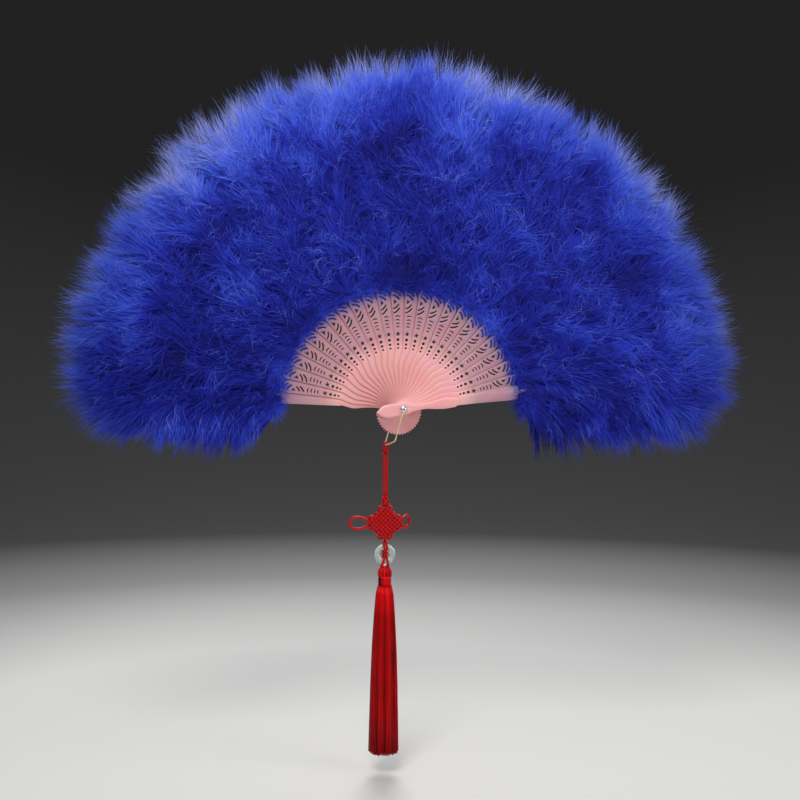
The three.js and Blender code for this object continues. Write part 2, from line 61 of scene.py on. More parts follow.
# %% Driving sizes
mm = 0.001
LAST = 24
FIRST_ANGLE = 13.66
PITCH_ANGLE = 7.06
GUARD_PITCH = 5.6
LAYER_PITCH = 1.45 * mm
STICK_THICKNESS = 1.3 * mm
GUARD_THICKNESS = 2.2 * mm
GUARD_Y = 17.85 * mm
BLADE_WIDTH = 12 * mm
BLADE_LENGTH = 105.4 * mm
GUARD_LENGTH = 104 * mm
GUARD_WIDTH = 12.6 * mm
RIB_END = 190 * mm
HEAD_WIDTH = 11.6 * mm
HEAD_LENGTH = 24 * mm
PLUME_THICKNESS = 48 * mm


def stick_angle(index):
    """Direction of a stick, in degrees above the right-hand horizontal."""
    nearest = min(max(index, 1), LAST - 1)
    return FIRST_ANGLE + (nearest - 1) * PITCH_ANGLE + (index - nearest) * GUARD_PITCH


def layer_y(index):
    """How far back a stick lies in the stack."""
    if index == 0:
        return -GUARD_Y
    if index == LAST:
        return GUARD_Y
    return (index - LAST / 2) * LAYER_PITCH


def body_of(index):
    if index == 0:
        return "front_guard"
    if index == LAST:
        return "back_guard"
    return f"stick_{index:02d}"


# %% [markdown]
# The camera stands a little to the left of the fan, barely above its middle, with a long lens, so
# the rows of piercings line up in the picture as they do in the photograph. It is placed by an
# angle round the fan, a height angle and a distance. The picture is square, so the lens follows
# from how many picture points one radian takes.

# %% The camera
IMAGE_SIZE = 800
POINTS_PER_RADIAN = 1366.6
CAMERA_AZIMUTH = -10.93
CAMERA_ELEVATION = 2.88
CAMERA_ROLL = 0.45
CAMERA_DISTANCE = 1.2
camera_target = Vector((0.52 * mm, 0, 6.96 * mm))

azimuth = math.radians(CAMERA_AZIMUTH)
elevation = math.radians(CAMERA_ELEVATION)
towards_camera = Vector((
    math.sin(azimuth) * math.cos(elevation),
    -math.cos(azimuth) * math.cos(elevation),
    math.sin(elevation),
))
camera_data = bpy.data.cameras.new("camera")
camera_data.sensor_width = 36
camera_data.lens = POINTS_PER_RADIAN / IMAGE_SIZE * camera_data.sensor_width
camera = bpy.data.objects.new("camera", camera_data)
bpy.context.scene.collection.objects.link(camera)
camera.location = camera_target + CAMERA_DISTANCE * towards_camera
facing = towards_camera.to_track_quat("Z", "Y").to_matrix().to_4x4()
camera.matrix_world = (
    Matrix.Translation(camera.location) @ facing @ Matrix.Rotation(math.radians(CAMERA_ROLL), 4, "Z")
)
bpy.context.scene.camera = camera
bpy.context.scene.view_settings.view_transform = "Standard"
print("camera:", [round(value, 4) for value in camera.location], "lens:", round(camera_data.lens, 2))

# %% [markdown]
# A material is a small tree of nodes. These helpers make a material, set numbers and colours on its
# shader's own sockets, and join one socket to another. A colour is written as the three numbers a
# colour picker shows, from 0 to 255, and is turned into the linear values that light works in.

# %% Helpers for materials


def linear(red, green, blue):
    """A picked colour as linear light, with its alpha."""
    channels = []
    for value in (red, green, blue):
        share = value / 255
        channels.append(share / 12.92 if share <= 0.04045 else ((share + 0.055) / 1.055) ** 2.4)
    return (*channels, 1.0)


def new_material(name, colour, **sockets):
    material = bpy.data.materials.new(name)
    material.use_nodes = True
    shader = material.node_tree.nodes["Principled BSDF"]
    shader.inputs["Base Color"].default_value = linear(*colour)
    for socket, value in sockets.items():
        shader.inputs[socket.replace("_", " ")].default_value = value
    material.diffuse_color = linear(*colour)
    return material, shader


def add_node(material, kind, **settings):
    node = material.node_tree.nodes.new(kind)
    for key, value in settings.items():
        socket = key.replace("_", " ")
        if socket in node.inputs:
            node.inputs[socket].default_value = value
        else:
            setattr(node, key, value)
    return node


def join(material, from_socket, to_socket):
    material.node_tree.links.new(from_socket, to_socket)


# %% [markdown]
# Several finishes share a few small groups of nodes: a sum of numbers, a soft noise, a distance, a
# blend of colours and a bump. Image textures could do this too, but nodes stay sharp at any size
# and follow the numbers in this script.

# %% Helpers for patterns


def combine(material, operation, *parts):
    """One number worked out from others; each part is a socket or a plain number."""
    node = add_node(material, "ShaderNodeMath", operation=operation)
    for socket, part in zip(node.inputs, parts):
        if isinstance(part, (int, float)):
            socket.default_value = part
        else:
            join(material, part, socket)
    return node.outputs["Value"]


def rescale(material, factor, **limits):
    """Maps a number from one range to another, each 0 to 1 where nothing else is given."""
    node = add_node(material, "ShaderNodeMapRange", **limits)
    join(material, factor, node.inputs["Value"])
    return node.outputs["Result"]


def clouds(material, **settings):
    """Noise through the piece itself, so that it stays with the piece as it moves."""
    place = add_node(material, "ShaderNodeTexCoord")
    noise = add_node(material, "ShaderNodeTexNoise", **settings)
    join(material, place.outputs["Object"], noise.inputs["Vector"])
    return noise.outputs


def distance_out(material, flatten, full):
    """How far a point lies from an axis through the origin, as a share of a full distance."""
    place = add_node(material, "ShaderNodeTexCoord")
    flat = add_node(material, "ShaderNodeMapping", Scale=flatten)
    join(material, place.outputs["Object"], flat.inputs["Vector"])
    length = add_node(material, "ShaderNodeVectorMath", operation="LENGTH")
    join(material, flat.outputs["Vector"], length.inputs[0])
    return rescale(material, length.outputs["Value"], From_Max=full)


def map_axes(material):
    """The two numbers that a point carries in the map."""
    place = add_node(material, "ShaderNodeTexCoord")
    split = add_node(material, "ShaderNodeSeparateXYZ")
    join(material, place.outputs["UV"], split.inputs["Vector"])
    return split.outputs["X"], split.outputs["Y"]


def ramp(material, factor, stops):
    """Colours blended along a factor; each stop is a place from 0 to 1 and a colour."""
    node = add_node(material, "ShaderNodeValToRGB")
    elements = node.color_ramp.elements
    while len(elements) < len(stops):
        elements.new(0.5)
    for element, (position, colour) in zip(elements, stops):
        element.position = position
        element.color = linear(*colour)
    join(material, factor, node.inputs["Fac"])
    return node.outputs["Color"]


def bump(material, shader, height, strength, distance):
    node = add_node(material, "ShaderNodeBump", Strength=strength, Distance=distance)
    join(material, height, node.inputs["Height"])
    join(material, node.outputs["Normal"], shader.inputs["Normal"])


# %% [markdown]
# Many parts of the fan are turned: one line of points is spun once round an axis. Spin leaves the
# points on the axis doubled, so they are merged. Every finished mesh is smooth and has its faces
# turned outwards, because spin can leave a shape inside out.

# %% Helpers for meshes


def turn_line(bm, points, axis=(0, 0, 1), centre=(0, 0, 0), steps=48, closed=False):
    """Adds the shape that a line of points sweeps in one turn round an axis."""
    verts = [bm.verts.new(point) for point in points]
    pairs = list(zip(verts, verts[1:])) + ([(verts[-1], verts[0])] if closed else [])
    edges = [bm.edges.new(pair) for pair in pairs]
    bmesh.ops.spin(
        bm, geom=verts + edges, axis=axis, cent=centre, angle=2 * math.pi, steps=steps, use_merge=True,
    )
    bmesh.ops.remove_doubles(bm, verts=bm.verts, dist=1e-6)


def finished(bm, name):
    """Turns the faces outwards and makes a smooth mesh of them."""
    bmesh.ops.recalc_face_normals(bm, faces=bm.faces)
    mesh = bpy.data.meshes.new(name)
    bm.to_mesh(mesh)
    bm.free()
    mesh.shade_smooth()
    return mesh


# %% [markdown]
# The object hangs in the air as if it were held, over a pale floor. The floor is painted pale under
# the fan and darker with distance, a painted pool of light, and sweeps up into a charcoal wall all
# round, like a photographer's cove, so every camera sees a plain ground. It is one profile, spun
# round the vertical axis.

# %% The floor
FLOOR_Z = -330 * mm
COVE_RADIUS = 2.4
COVE_BEND = 0.9
WALL_TOP = 3.2


def cove_profile():
    """Points of the cove's section from the middle of the floor out and up the wall."""
    points = [Vector((0, 0, FLOOR_Z)), Vector((COVE_RADIUS - COVE_BEND, 0, FLOOR_Z))]
    for step in range(1, 13):
        turn = math.radians(90 * step / 12)
        points.append(Vector((
            COVE_RADIUS - COVE_BEND + COVE_BEND * math.sin(turn),
            0,
            FLOOR_Z + COVE_BEND * (1 - math.cos(turn)),
        )))
    points.append(Vector((COVE_RADIUS, 0, WALL_TOP)))
    return points


def add_stage():
    bm = bmesh.new()
    turn_line(bm, cove_profile(), steps=72)
    cove = bpy.data.objects.new("cove", finished(bm, "cove"))
    bpy.context.scene.collection.objects.link(cove)
    material, shader = new_material("cove_paint", (200, 200, 198), Roughness=0.9)
    # Painted light: the floor is pale near its middle and darker outwards, as a pool of light falls
    # off.
    colour = ramp(material, distance_out(material, (1, 1, 0), COVE_RADIUS), [
        (0.0, (204, 203, 200)), (0.22, (196, 195, 193)), (0.42, (118, 118, 118)),
        (0.62, (46, 46, 47)), (1.0, (34, 34, 35)),
    ])
    join(material, colour, shader.inputs["Base Color"])
    cove.data.materials.append(material)


add_stage()

# %% [markdown]
# Three round lamps light the fan: one from the front left, a weaker one from the right that fills
# the shadows, and one from behind that makes the edge of the down glow. They are large, so shadows
# are soft, and an even pale world keeps the colours about as they are written.

# %% The light


def add_lamp(name, place, size, power):
    data = bpy.data.lights.new(name, "AREA")
    data.shape = "DISK"
    data.size = size
    data.energy = power
    lamp = bpy.data.objects.new(name, data)
    lamp.location = place
    lamp.rotation_euler = Vector(place).to_track_quat("Z", "Y").to_euler()
    bpy.context.scene.collection.objects.link(lamp)


def add_light():
    add_lamp("key_lamp", (-0.6, -1.5, 1.5), 1.0, 34)
    add_lamp("fill_lamp", (1.4, -1.2, 0.5), 1.2, 12)
    add_lamp("back_lamp", (0.3, 1.5, 1.3), 1.0, 30)
    world = bpy.data.worlds.new("soft_world")
    world.use_nodes = True
    background = world.node_tree.nodes["Background"]
    background.inputs["Color"].default_value = (0.95, 0.97, 1.0, 1)
    background.inputs["Strength"].default_value = 1.0
    bpy.context.scene.world = world


add_light()

# %% [markdown]
# New pieces are added by one function, so that none forgets its finish, its body or the packed
# piece that it stands for. The mesh already lies in its place, and the object stays at the origin.

# %% Helper for new pieces


def add_piece(name, mesh, material, body, slot, *nodes):
    piece = bpy.data.objects.new(name, mesh)
    bpy.context.scene.collection.objects.link(piece)
    mesh.materials.append(material)
    if nodes:
        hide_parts(*nodes)
    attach(piece, body)
    return piece


# %% [markdown]
# The whole pendant hangs from the bottom bar of the wire bail, a little behind the middle of the
# stack. Its pieces are laid out in millimetres from the middle of that bar, so one function turns
# such a place into the frame's metres.

# %% Places on the pendant
BAIL_LENGTH = 35
BAIL_TILT = math.radians(15)
BAIL_Y = 19.7
pendant_x = -BAIL_LENGTH * math.sin(BAIL_TILT) * mm
pendant_y = 15.9 * mm
bar_z = -BAIL_LENGTH * math.cos(BAIL_TILT) * mm


def hang(x, y, z):
    """A place on the pendant, from millimetres off the middle of the cord's loop over the bar."""
    return Vector((pendant_x + x * mm, pendant_y + y * mm, bar_z + z * mm))


print("the bar lies", round(-bar_z / mm, 1), "mm below the rivet")

# %% [markdown]
# Cords, threads and wires are all tubes round a path. The tube is laid ring by ring. Its map runs
# once round it and along it in braid pitches, so a woven material follows every bend. A thread too
# fine for a weave carries one tone in its map instead.

# %% Helpers for tubes
braid_pitch = 1.6 * mm


def lay_tube(bm, path, radii, sides, closed=False, tone=None):
    """Adds a closed skin round a path; radii is one number or one for each point."""
    layer = bm.loops.layers.uv.verify()
    count = len(path)
    if not isinstance(radii, (list, tuple)):
        radii = [radii] * count
    along = [0.0]
    for before, after in zip(path, path[1:]):
        along.append(along[-1] + (after - before).length)
    rings = []
    side = None
    for k, point in enumerate(path):
        before = path[k - 1] if k or closed else point
        after = path[(k + 1) % count] if k < count - 1 or closed else point
        heading = (after - before).normalized()
        if side is None:
            side = heading.orthogonal().normalized()
        side = (side - heading * side.dot(heading)).normalized()
        frame_here = Matrix((side, heading.cross(side), heading)).transposed().to_4x4()
        matrix = Matrix.Translation(point) @ frame_here
        circle = bmesh.ops.create_circle(bm, segments=sides, radius=radii[k], matrix=matrix)
        rings.append(circle["verts"])
    total = along[-1] + ((path[0] - path[-1]).length if closed else 0.0)
    spans = list(zip(range(count), range(1, count)))
    if closed:
        spans.append((count - 1, 0))
    for here, there in spans:
        low = along[here] / braid_pitch
        high = (along[there] if there else total) / braid_pitch
        near, far = rings[here], rings[there]
        for k in range(sides):
            after = (k + 1) % sides
            face = bm.faces.new((near[k], near[after], far[after], far[k]))
            for loop, (u, v) in zip(face.loops, ((k, low), (k + 1, low), (k + 1, high), (k, high))):
                if tone is None:
                    loop[layer].uv = (u / sides, v)
                else:
                    loop[layer].uv = (tone, v * braid_pitch / total)
    if not closed:
        bm.faces.new(reversed(rings[0]))
        bm.faces.new(rings[-1])


# %% [markdown]
# Cords, wires and the waisted edges of the sticks run smoothly through a few points. A curve object
# could do that, but the points are wanted for the tubes and outlines of other meshes, so a small
# helper works them out.

# %% A smooth curve through points


def curve_through(points, steps, closed=False):
    """A smooth curve through the points, with so many steps from one to the next."""
    count = len(points)
    curve = []
    for k in range(count if closed else count - 1):
        near = [k - 1, k, k + 1, k + 2]
        picked = [i % count if closed else min(max(i, 0), count - 1) for i in near]
        a, b, c, d = (Vector(points[i]) for i in picked)
        for step in range(steps):
            t = step / steps
            bend = (a * 2 - b * 5 + c * 4 - d) * t ** 2 + (b * 3 - a - c * 3 + d) * t ** 3
            curve.append((b * 2 + (c - a) * t + bend) / 2)
    if not closed:
        curve.append(Vector(points[-1]))
    return curve


# %% [markdown]
# The cord is a round braid of red silk. Its herringbone comes from two waves that cross on the
# tube's own map, and where the waves are low, between the strands, the colour turns deep: painted
# shade in the grooves of the braid. Silk scatters light along its edges, which the sheen gives.

# %% Red silk


def silk_material(name, colour, deep):
    material, shader = new_material(
        name, colour, Roughness=0.45, Sheen_Weight=0.1, Sheen_Roughness=0.35,
        Sheen_Tint=linear(255, 70, 60), Specular_IOR_Level=0.2,
    )
    place = add_node(material, "ShaderNodeTexCoord")
    twists = []
    for lean in (1, -1):
        turned = (0, 0, lean * math.radians(38))
        mapping = add_node(material, "ShaderNodeMapping", Scale=(6, 1, 1), Rotation=turned)
        join(material, place.outputs["UV"], mapping.inputs["Vector"])
        wave = add_node(material, "ShaderNodeTexWave", Scale=1.1, Distortion=0.6)
        join(material, mapping.outputs["Vector"], wave.inputs["Vector"])
        twists.append(wave.outputs["Fac"])
    weave = combine(material, "MAXIMUM", *twists)
    # Deep where the weave is low: painted shade between the strands of the braid.
    shade = ramp(material, weave, [(0.25, deep), (0.8, colour)])
    join(material, shade, shader.inputs["Base Color"])
    bump(material, shader, weave, 0.6, 0.15 * mm)
    return material


def thread_material(name, deep, bright, brightest):
    """Loose silk thread: its tone comes from the map, and near its upper end it is painted brighter, as
    painted light from above.
    """
    material, shader = new_material(
        name, bright, Roughness=0.42, Sheen_Weight=0.04, Sheen_Roughness=0.3,
        Sheen_Tint=linear(255, 60, 50), Specular_IOR_Level=0.15,
    )
    tone, along = map_axes(material)
    drift = clouds(material, Scale=60, Detail=2)
    blend = combine(material, "MULTIPLY_ADD", drift["Fac"], 0.35, tone)
    # Painted light: the top fifth of every thread is made brighter, as if lit from above.
    top_light = rescale(material, along, From_Min=0.02, From_Max=0.2, To_Min=0.32, To_Max=0.0)
    total = combine(material, "ADD", blend, top_light)
    shade = ramp(material, total, [(0.15, deep), (0.8, bright), (1.0, brightest)])
    join(material, shade, shader.inputs["Base Color"])
    return material


red_silk = silk_material("red_silk_cord", (206, 10, 18), (112, 2, 6))
red_thread = thread_material("red_silk_thread", (62, 0, 3), (192, 2, 8), (236, 14, 14))

# %% [markdown]
# Both strands of the cord between the knots hang straight, because the tassel's weight pulls them
# taut.

# %% The doubled cord
CORD_DIAMETER = 2.2 * mm
CORD_LENGTH = 36 * mm
CORD_SPACING = 2.5
CORD_TOP = -9.3


def add_strand(name, node, side):
    steps = 18
    pitch = CORD_LENGTH / mm / (steps - 1)
    path = [hang(side * CORD_SPACING / 2, 0, CORD_TOP - pitch * k) for k in range(steps)]
    bm = bmesh.new()
    lay_tube(bm, path, CORD_DIAMETER / 2, 12)
    return add_piece(name, finished(bm, name), red_silk, "lanyard", "red_cord", node), path


strand_left, path_left = add_strand("cord_strand_left", "lanyard_cord_left", -1)
strand_right, path_right = add_strand("cord_strand_right", "lanyard_cord_right", 1)
print("cord strands:", round(CORD_LENGTH / mm, 1), "mm long")

# %% [markdown]
# At the top the cord goes over the wire as a loop and is bound by two slanted wraps. The strands
# are pinched where the wraps squeeze them, so they get thinner there.

# %% The loop knot
LOOP_HALF = (
    ((0.5, 0, -9.0), 0.6), ((0.5, 0, -6.0), 0.6), ((0.9, 0, -3.2), 0.8),
    ((1.9, 0, -1.2), 1.05), ((1.75, 0, 1.0), 1.1), ((0, 0, 2.0), 1.1),
)
WRAP_TURNS = 2.2
WRAP_RADIUS = 2.1


def loop_knot_mesh():
    bm = bmesh.new()
    right = [(hang(*point), radius * mm) for point, radius in LOOP_HALF]
    left = [(hang(-x, y, z), radius * mm) for (x, y, z), radius in LOOP_HALF[:-1]]
    whole = right + left[::-1]
    points, widths = zip(*whole)
    path = curve_through(points, 4)
    widths = np.interp(np.arange(len(path)) / 4, np.arange(len(whole)), widths)
    lay_tube(bm, path, [float(width) for width in widths], 12)
    wrap, radii = [], []
    steps = 52
    for k in range(steps + 1):
        share = k / steps
        angle = 2 * math.pi * (WRAP_TURNS * share) + 0.6
        across, depth = WRAP_RADIUS * math.cos(angle), -WRAP_RADIUS * math.sin(angle)
        wrap.append(hang(across, depth, -3.3 - 4.4 * share + 0.75 * math.sin(angle + 0.4)))
        radii.append(mm * min(1.1, 0.4 + 12 * share, 0.4 + 12 * (1 - share)))
    lay_tube(bm, wrap, radii, 12)
    return finished(bm, "loop_knot_cord")


loop_knot = add_piece(
    "loop_knot_cord", loop_knot_mesh(), red_silk, "lanyard_loop", "red_cord", "loop_knot",
)

# %% [markdown]
# The button knot is one cord that runs three times round a core and turns back four times at each
# end, over and under itself. That is a closed curve with a simple formula: an angle that runs round
# three times while the height swings four times, and a depth that swings twice as fast.

# %% The button knot
BUTTON_MIDDLE = -49.6
BUTTON_RADIUS = 2.3
BUTTON_HALF = 2.95
BUTTON_CORD = 0.95 * mm
BUTTON_CORE = ((4.3, 1.9), (2, 1.7), (0, 1.7), (-2, 2.1), (-4.2, 2.3))


def button_knot_mesh():
    bm = bmesh.new()
    steps = 108
    path = []
    for k in range(steps):
        turn = 6 * math.pi * k / steps
        rise = math.cos(4 * turn / 3)
        reach = BUTTON_RADIUS * (1 - 0.16 * rise) + 0.38 * math.sin(8 * turn / 3)
        height = BUTTON_MIDDLE + BUTTON_HALF * rise
        path.append(hang(reach * math.cos(turn), reach * math.sin(turn), height))
    lay_tube(bm, path, BUTTON_CORD, 10, closed=True)
    core = [hang(0, 0, BUTTON_MIDDLE + z) for z, radius in BUTTON_CORE]
    lay_tube(bm, core, [radius * mm for z, radius in BUTTON_CORE], 12)
    return finished(bm, "button_knot_cord")


button_knot = add_piece(
    "button_knot_cord", button_knot_mesh(), red_silk, "lanyard", "red_cord", "button_knot",
)

# %% [markdown]
# The endless knot is woven flat from one long cord. Eight runs lean left and eight lean right, and
# each goes over and under the others by turns. Neighbouring runs turn back into each other at the
# edge, some with a small ear. The outermost runs go round the left and right corners as two big
# ears and leave at the top and the bottom.

# %% Runs and ears of the endless knot
KNOT_MIDDLE = -69.72
RUN_PITCH = 23 / 8
RUN_RADIUS = 1.26 * mm
RUN_SWING = 1.22
KNOT_EDGE = 3.5 * RUN_PITCH
EAR_LENGTH = 19
EAR_WIDTH = 13.5
EAR_START = 15.16


def on_run(lean, run, along, depth=None):
    """A place on a run: lean is 1 for up to the right and -1 for up to the left."""
    offset = (run - 3.5) * RUN_PITCH
    if depth is None:
        depth = RUN_SWING * math.cos(math.pi * (along / RUN_PITCH + 3.5 + run))
    x = (offset + lean * along) / math.sqrt(2)
    z = (along - lean * offset) / math.sqrt(2)
    return hang(x, depth, KNOT_MIDDLE + z)


def woven_run(lean, run, start, stop):
    steps = 36
    return [on_run(lean, run, start + (stop - start) * k / steps) for k in range(steps + 1)]


def turn_back(lean, run, end, reach, width):
    """The U-turn from one run to the next, past the edge of the weave."""
    turn = []
    for angle in (-80, -50, -20, 20, 50, 80):
        across = run + 0.5 + width * math.sin(math.radians(angle))
        along = end * (KNOT_EDGE + reach * (0.35 + 0.65 * math.cos(math.radians(angle))))
        depth = -RUN_SWING * math.cos(math.pi * (7 if end > 0 else 0) + math.pi * run) * angle / 90
        turn.append(on_run(lean, across, along, depth))
    return turn


def big_ear(side, turn):
    points = []
    for angle in range(-125, 126, 25):
        swing = math.radians(angle)
        reach = EAR_LENGTH / 2 * (1 + math.cos(swing)) - 2.2
        rise = EAR_WIDTH / 2 * math.sin(swing) * (1 - 0.25 * (1 - math.cos(swing)))
        across = EAR_START + reach * math.cos(math.radians(turn))
        points.append(hang(side * across, reach * math.sin(math.radians(turn)), KNOT_MIDDLE + rise))
    return curve_through(points, 4)


# %% [markdown]
# Three closed rings of cord on each lean make the middle of the weave, and the four outermost runs
# are one long cord with the two big ears. On the real knot one single cord makes it all. Closed rings
# look much the same, and each run stays simple to place.

# %% The endless knot


def endless_knot_mesh():
    bm = bmesh.new()
    for lean in (1, -1):
        for run, reach, width in ((1, 3.6, 0.72), (3, 1.7, 0.5), (5, 3.6, 0.72)):
            path = woven_run(lean, run, -KNOT_EDGE, KNOT_EDGE)
            path += turn_back(lean, run, 1, reach, width)
            path += woven_run(lean, run + 1, KNOT_EDGE, -KNOT_EDGE)
            path += turn_back(lean, run, -1, reach, width)[::-1]
            lay_tube(bm, path, RUN_RADIUS, 10, closed=True)
    downwards = (KNOT_EDGE, -KNOT_EDGE)
    left = woven_run(1, 0, *downwards) + big_ear(-1, 8) + woven_run(-1, 0, *downwards)
    right = woven_run(-1, 7, *downwards) + big_ear(1, 55) + woven_run(1, 7, *downwards)
    top_left = [hang(0.9, 0.6, KNOT_MIDDLE + 16.0)]
    top_right = [hang(-0.9, -0.6, KNOT_MIDDLE + 16.0)]
    bottom = [hang(0, 0, KNOT_MIDDLE - 15.6)]
    lay_tube(bm, top_left + left + bottom + right[::-1] + top_right, RUN_RADIUS, 10)
    return finished(bm, "endless_knot_cord")


endless_knot = add_piece(
    "endless_knot_cord", endless_knot_mesh(), red_silk, "lanyard", "red_cord", "endless_knot",
)
print("knots:", [len(piece.data.polygons) for piece in (loop_knot, button_knot, endless_knot)], "faces")

# %% [markdown]
# The ring is a turned and polished disc of pale jade, or glass made to look like it: cloudy, a
# little green, and clear enough to let the ground through. It is spun from one rounded section.

# %% The jade ring
RING_MIDDLE = -98.04
RING_RADIUS = 9.7
RING_HOLE = 4.2
RING_HALF = 1.7


def jade_material():
    material, shader = new_material(
        "pale_jade", (226, 236, 230), Roughness=0.08, Transmission_Weight=0.62, IOR=1.5,
        Subsurface_Weight=0.15, Subsurface_Scale=3 * mm, Coat_Weight=0.3, Coat_Roughness=0.03,
    )
    milk = clouds(material, Scale=160, Detail=4, Distortion=1.2)
    tone = ramp(material, milk["Fac"], [
        (0.3, (196, 220, 208)), (0.55, (232, 240, 236)), (0.75, (246, 248, 248)),
    ])
    join(material, tone, shader.inputs["Base Color"])
    return material


def jade_mesh():
    bm = bmesh.new()
    centre = hang(0, 0, RING_MIDDLE)
    middle = (RING_RADIUS + RING_HOLE) / 2
    half = (RING_RADIUS - RING_HOLE) / 2
    section = []
    for k in range(20):
        angle = 2 * math.pi * k / 20
        across = math.copysign(abs(math.cos(angle)) ** 0.75, math.cos(angle))
        up = math.copysign(abs(math.sin(angle)) ** 0.75, math.sin(angle))
        section.append(centre + Vector(((middle + half * across) * mm, RING_HALF * up * mm, 0)))
    turn_line(bm, section, axis=(0, 1, 0), centre=centre, steps=64, closed=True)
    return finished(bm, "jade_disc")


add_piece("jade_disc", jade_mesh(), jade_material(), "tassel", "jade", "jade_ring")

# %% [markdown]
# The tassel hangs on two loops of cord that go round the ring and are tied through its hole. Each
# loop is one tube up the front and down the back, and the tie is a closed one.

# %% The tassel's loops
LOOP_POINTS = (
    (2.9, -1.4, -109.8), (2.7, -2.7, -107.4), (1.6, -3.1, -103), (1.0, -3.1, -98.4),
    (0.95, -3.1, -95.2), (1.35, -3.1, -91.5), (1.1, -2.2, -88.1), (1.0, 0, -86.95),
)
LOOP_RADIUS = 1.0 * mm
TIE_RADIUS = 0.7 * mm
TIE_MIDDLE = -95.24
TIE_POINTS = ((1.6, 0), (2.1, 3.1), (1.5, 4.5), (-1.5, 4.5), (-2.1, 3.1))


def tassel_loops_mesh():
    bm = bmesh.new()
    for side in (1, -1):
        front = [hang(side * x, y, z) for x, y, z in LOOP_POINTS]
        back = [hang(side * x, -y, z) for x, y, z in LOOP_POINTS[:-1]]
        lay_tube(bm, curve_through(front + back[::-1], 4), LOOP_RADIUS, 10)
    tie = [hang(side * x, side * y, TIE_MIDDLE) for side in (1, -1) for x, y in TIE_POINTS]
    lay_tube(bm, curve_through(tie, 4, closed=True), TIE_RADIUS, 10, closed=True)
    return finished(bm, "tassel_loops")


add_piece("tassel_loops", tassel_loops_mesh(), red_silk, "tassel", "tassel_thread", "tassel_head")

# %% [markdown]
# The tassel's threads are laid over a knob, bound by a dark wound band, and let fall. Bundles of red
# thread cross the band in front and behind, so the dark of it shows at the sides only. The threads
# are real tubes, because their round backs catch the light one by one.

# %% The tassel's head
HEAD_TOP = -109.14
BAND_TOP = -117.74
BAND_BOTTOM = -125.74
BAND_RADIUS = 5.3
WINDING_RADIUS = 5.42
CAP_PROFILE = (
    (0.5, -108.95), (2.0, -109.2), (4.4, -110.4), (5.75, -112.6),
    (6.05, -115.2), (5.95, -117.3), (5.3, -118.4),
)
CAP_THREADS = 66
BUNDLE_PROFILE = ((5.8, -117.2), (6.3, -119.5), (6.25, -123), (6.2, -126.2))
BUNDLE_THREADS = 17


def around(angle, radius, z):
    """A place on the tassel, by angle round its axis, in radians from the right to the back."""
    return hang(radius * math.cos(angle), radius * math.sin(angle), z)


def lay_turned(bm, profile, steps=48):
    """A closed shell turned round the tassel's axis, from radii and heights."""
    turn_line(bm, [around(0, radius, z) for radius, z in profile], centre=hang(0, 0, 0), steps=steps)


def lay_core(bm, profile, tone, steps=48):
    """A turned shell under the threads, all of one tone; its dark tone is painted shade between the
    threads.
    """
    lay_turned(bm, profile, steps)
    layer = bm.loops.layers.uv.verify()
    for face in bm.faces:
        for loop in face.loops:
            loop[layer].uv = (tone, 1)


def tassel_cap_mesh():
    rng = np.random.default_rng(51)
    bm = bmesh.new()
    inner = [(radius - 0.45, z) for radius, z in CAP_PROFILE[1:]]
    # The knob under the cap threads takes a dark tone: painted shade between the threads.
    lay_core(bm, [(0, HEAD_TOP - 0.4), *inner, (0, -118.2)], 0.1)
    for k in range(CAP_THREADS):
        angle = 2 * math.pi * (k + rng.uniform(-0.2, 0.2)) / CAP_THREADS
        points = [around(angle, radius, z) for radius, z in CAP_PROFILE]
        lay_tube(bm, points, 0.37 * mm, 5, tone=float(rng.uniform(0.3, 1.0)))
    for middle in (-math.pi / 2, math.pi / 2):
        for k in range(BUNDLE_THREADS):
            side = 2 * k / (BUNDLE_THREADS - 1) - 1
            angle = middle + math.radians(40) * side + rng.uniform(-0.02, 0.02)
            points = [around(angle, radius, z) for radius, z in BUNDLE_PROFILE]
            lay_tube(bm, points, 0.36 * mm, 5, tone=float(rng.uniform(0.5, 1.0)))
    return finished(bm, "tassel_cap")


def tassel_band_mesh():
    bm = bmesh.new()
    sides = [(BAND_RADIUS, BAND_TOP), (BAND_RADIUS, BAND_BOTTOM)]
    lay_turned(bm, [(0, BAND_TOP), *sides, (0, BAND_BOTTOM)])
    turns, per_turn = 11, 28
    winding = []
    for k in range(turns * per_turn + 1):
        height = BAND_TOP - 0.3 + (BAND_BOTTOM - BAND_TOP + 0.6) * k / (turns * per_turn)
        winding.append(around(2 * math.pi * k / per_turn, WINDING_RADIUS, height))
    lay_tube(bm, winding, 0.38 * mm, 6, tone=0.5)
    return finished(bm, "tassel_band")


dark_thread = thread_material("dark_bound_thread", (16, 3, 5), (50, 8, 10), (60, 10, 12))
tassel_cap = add_piece("tassel_cap", tassel_cap_mesh(), red_thread, "tassel", "tassel_thread")
add_piece("tassel_band", tassel_band_mesh(), dark_thread, "tassel", "tassel_thread")

# %% [markdown]
# The skirt is some four hundred loose threads. Each is a thin tube of a few faces that starts under
# the band, leans out and hangs down, with a faint wave of its own. A core in the deepest thread
# colour keeps the light from shining through the middle, and its dark is painted shade inside the
# skirt.

# %% The tassel's skirt
SKIRT_TOP = -126.04
SKIRT_LENGTH = 151
SKIRT_RADII = ((0, 6.0), (0.06, 8.0), (0.3, 10.2), (0.65, 11.9), (1, 12.95))
THREADS = 430
THREAD_RADIUS = 0.42 * mm
THREAD_STEPS = (0, 0.05, 0.18, 0.38, 0.6, 0.82, 1.0)


def skirt_radius(share):
    shares, radii = zip(*SKIRT_RADII)
    return float(np.interp(share, shares, radii))


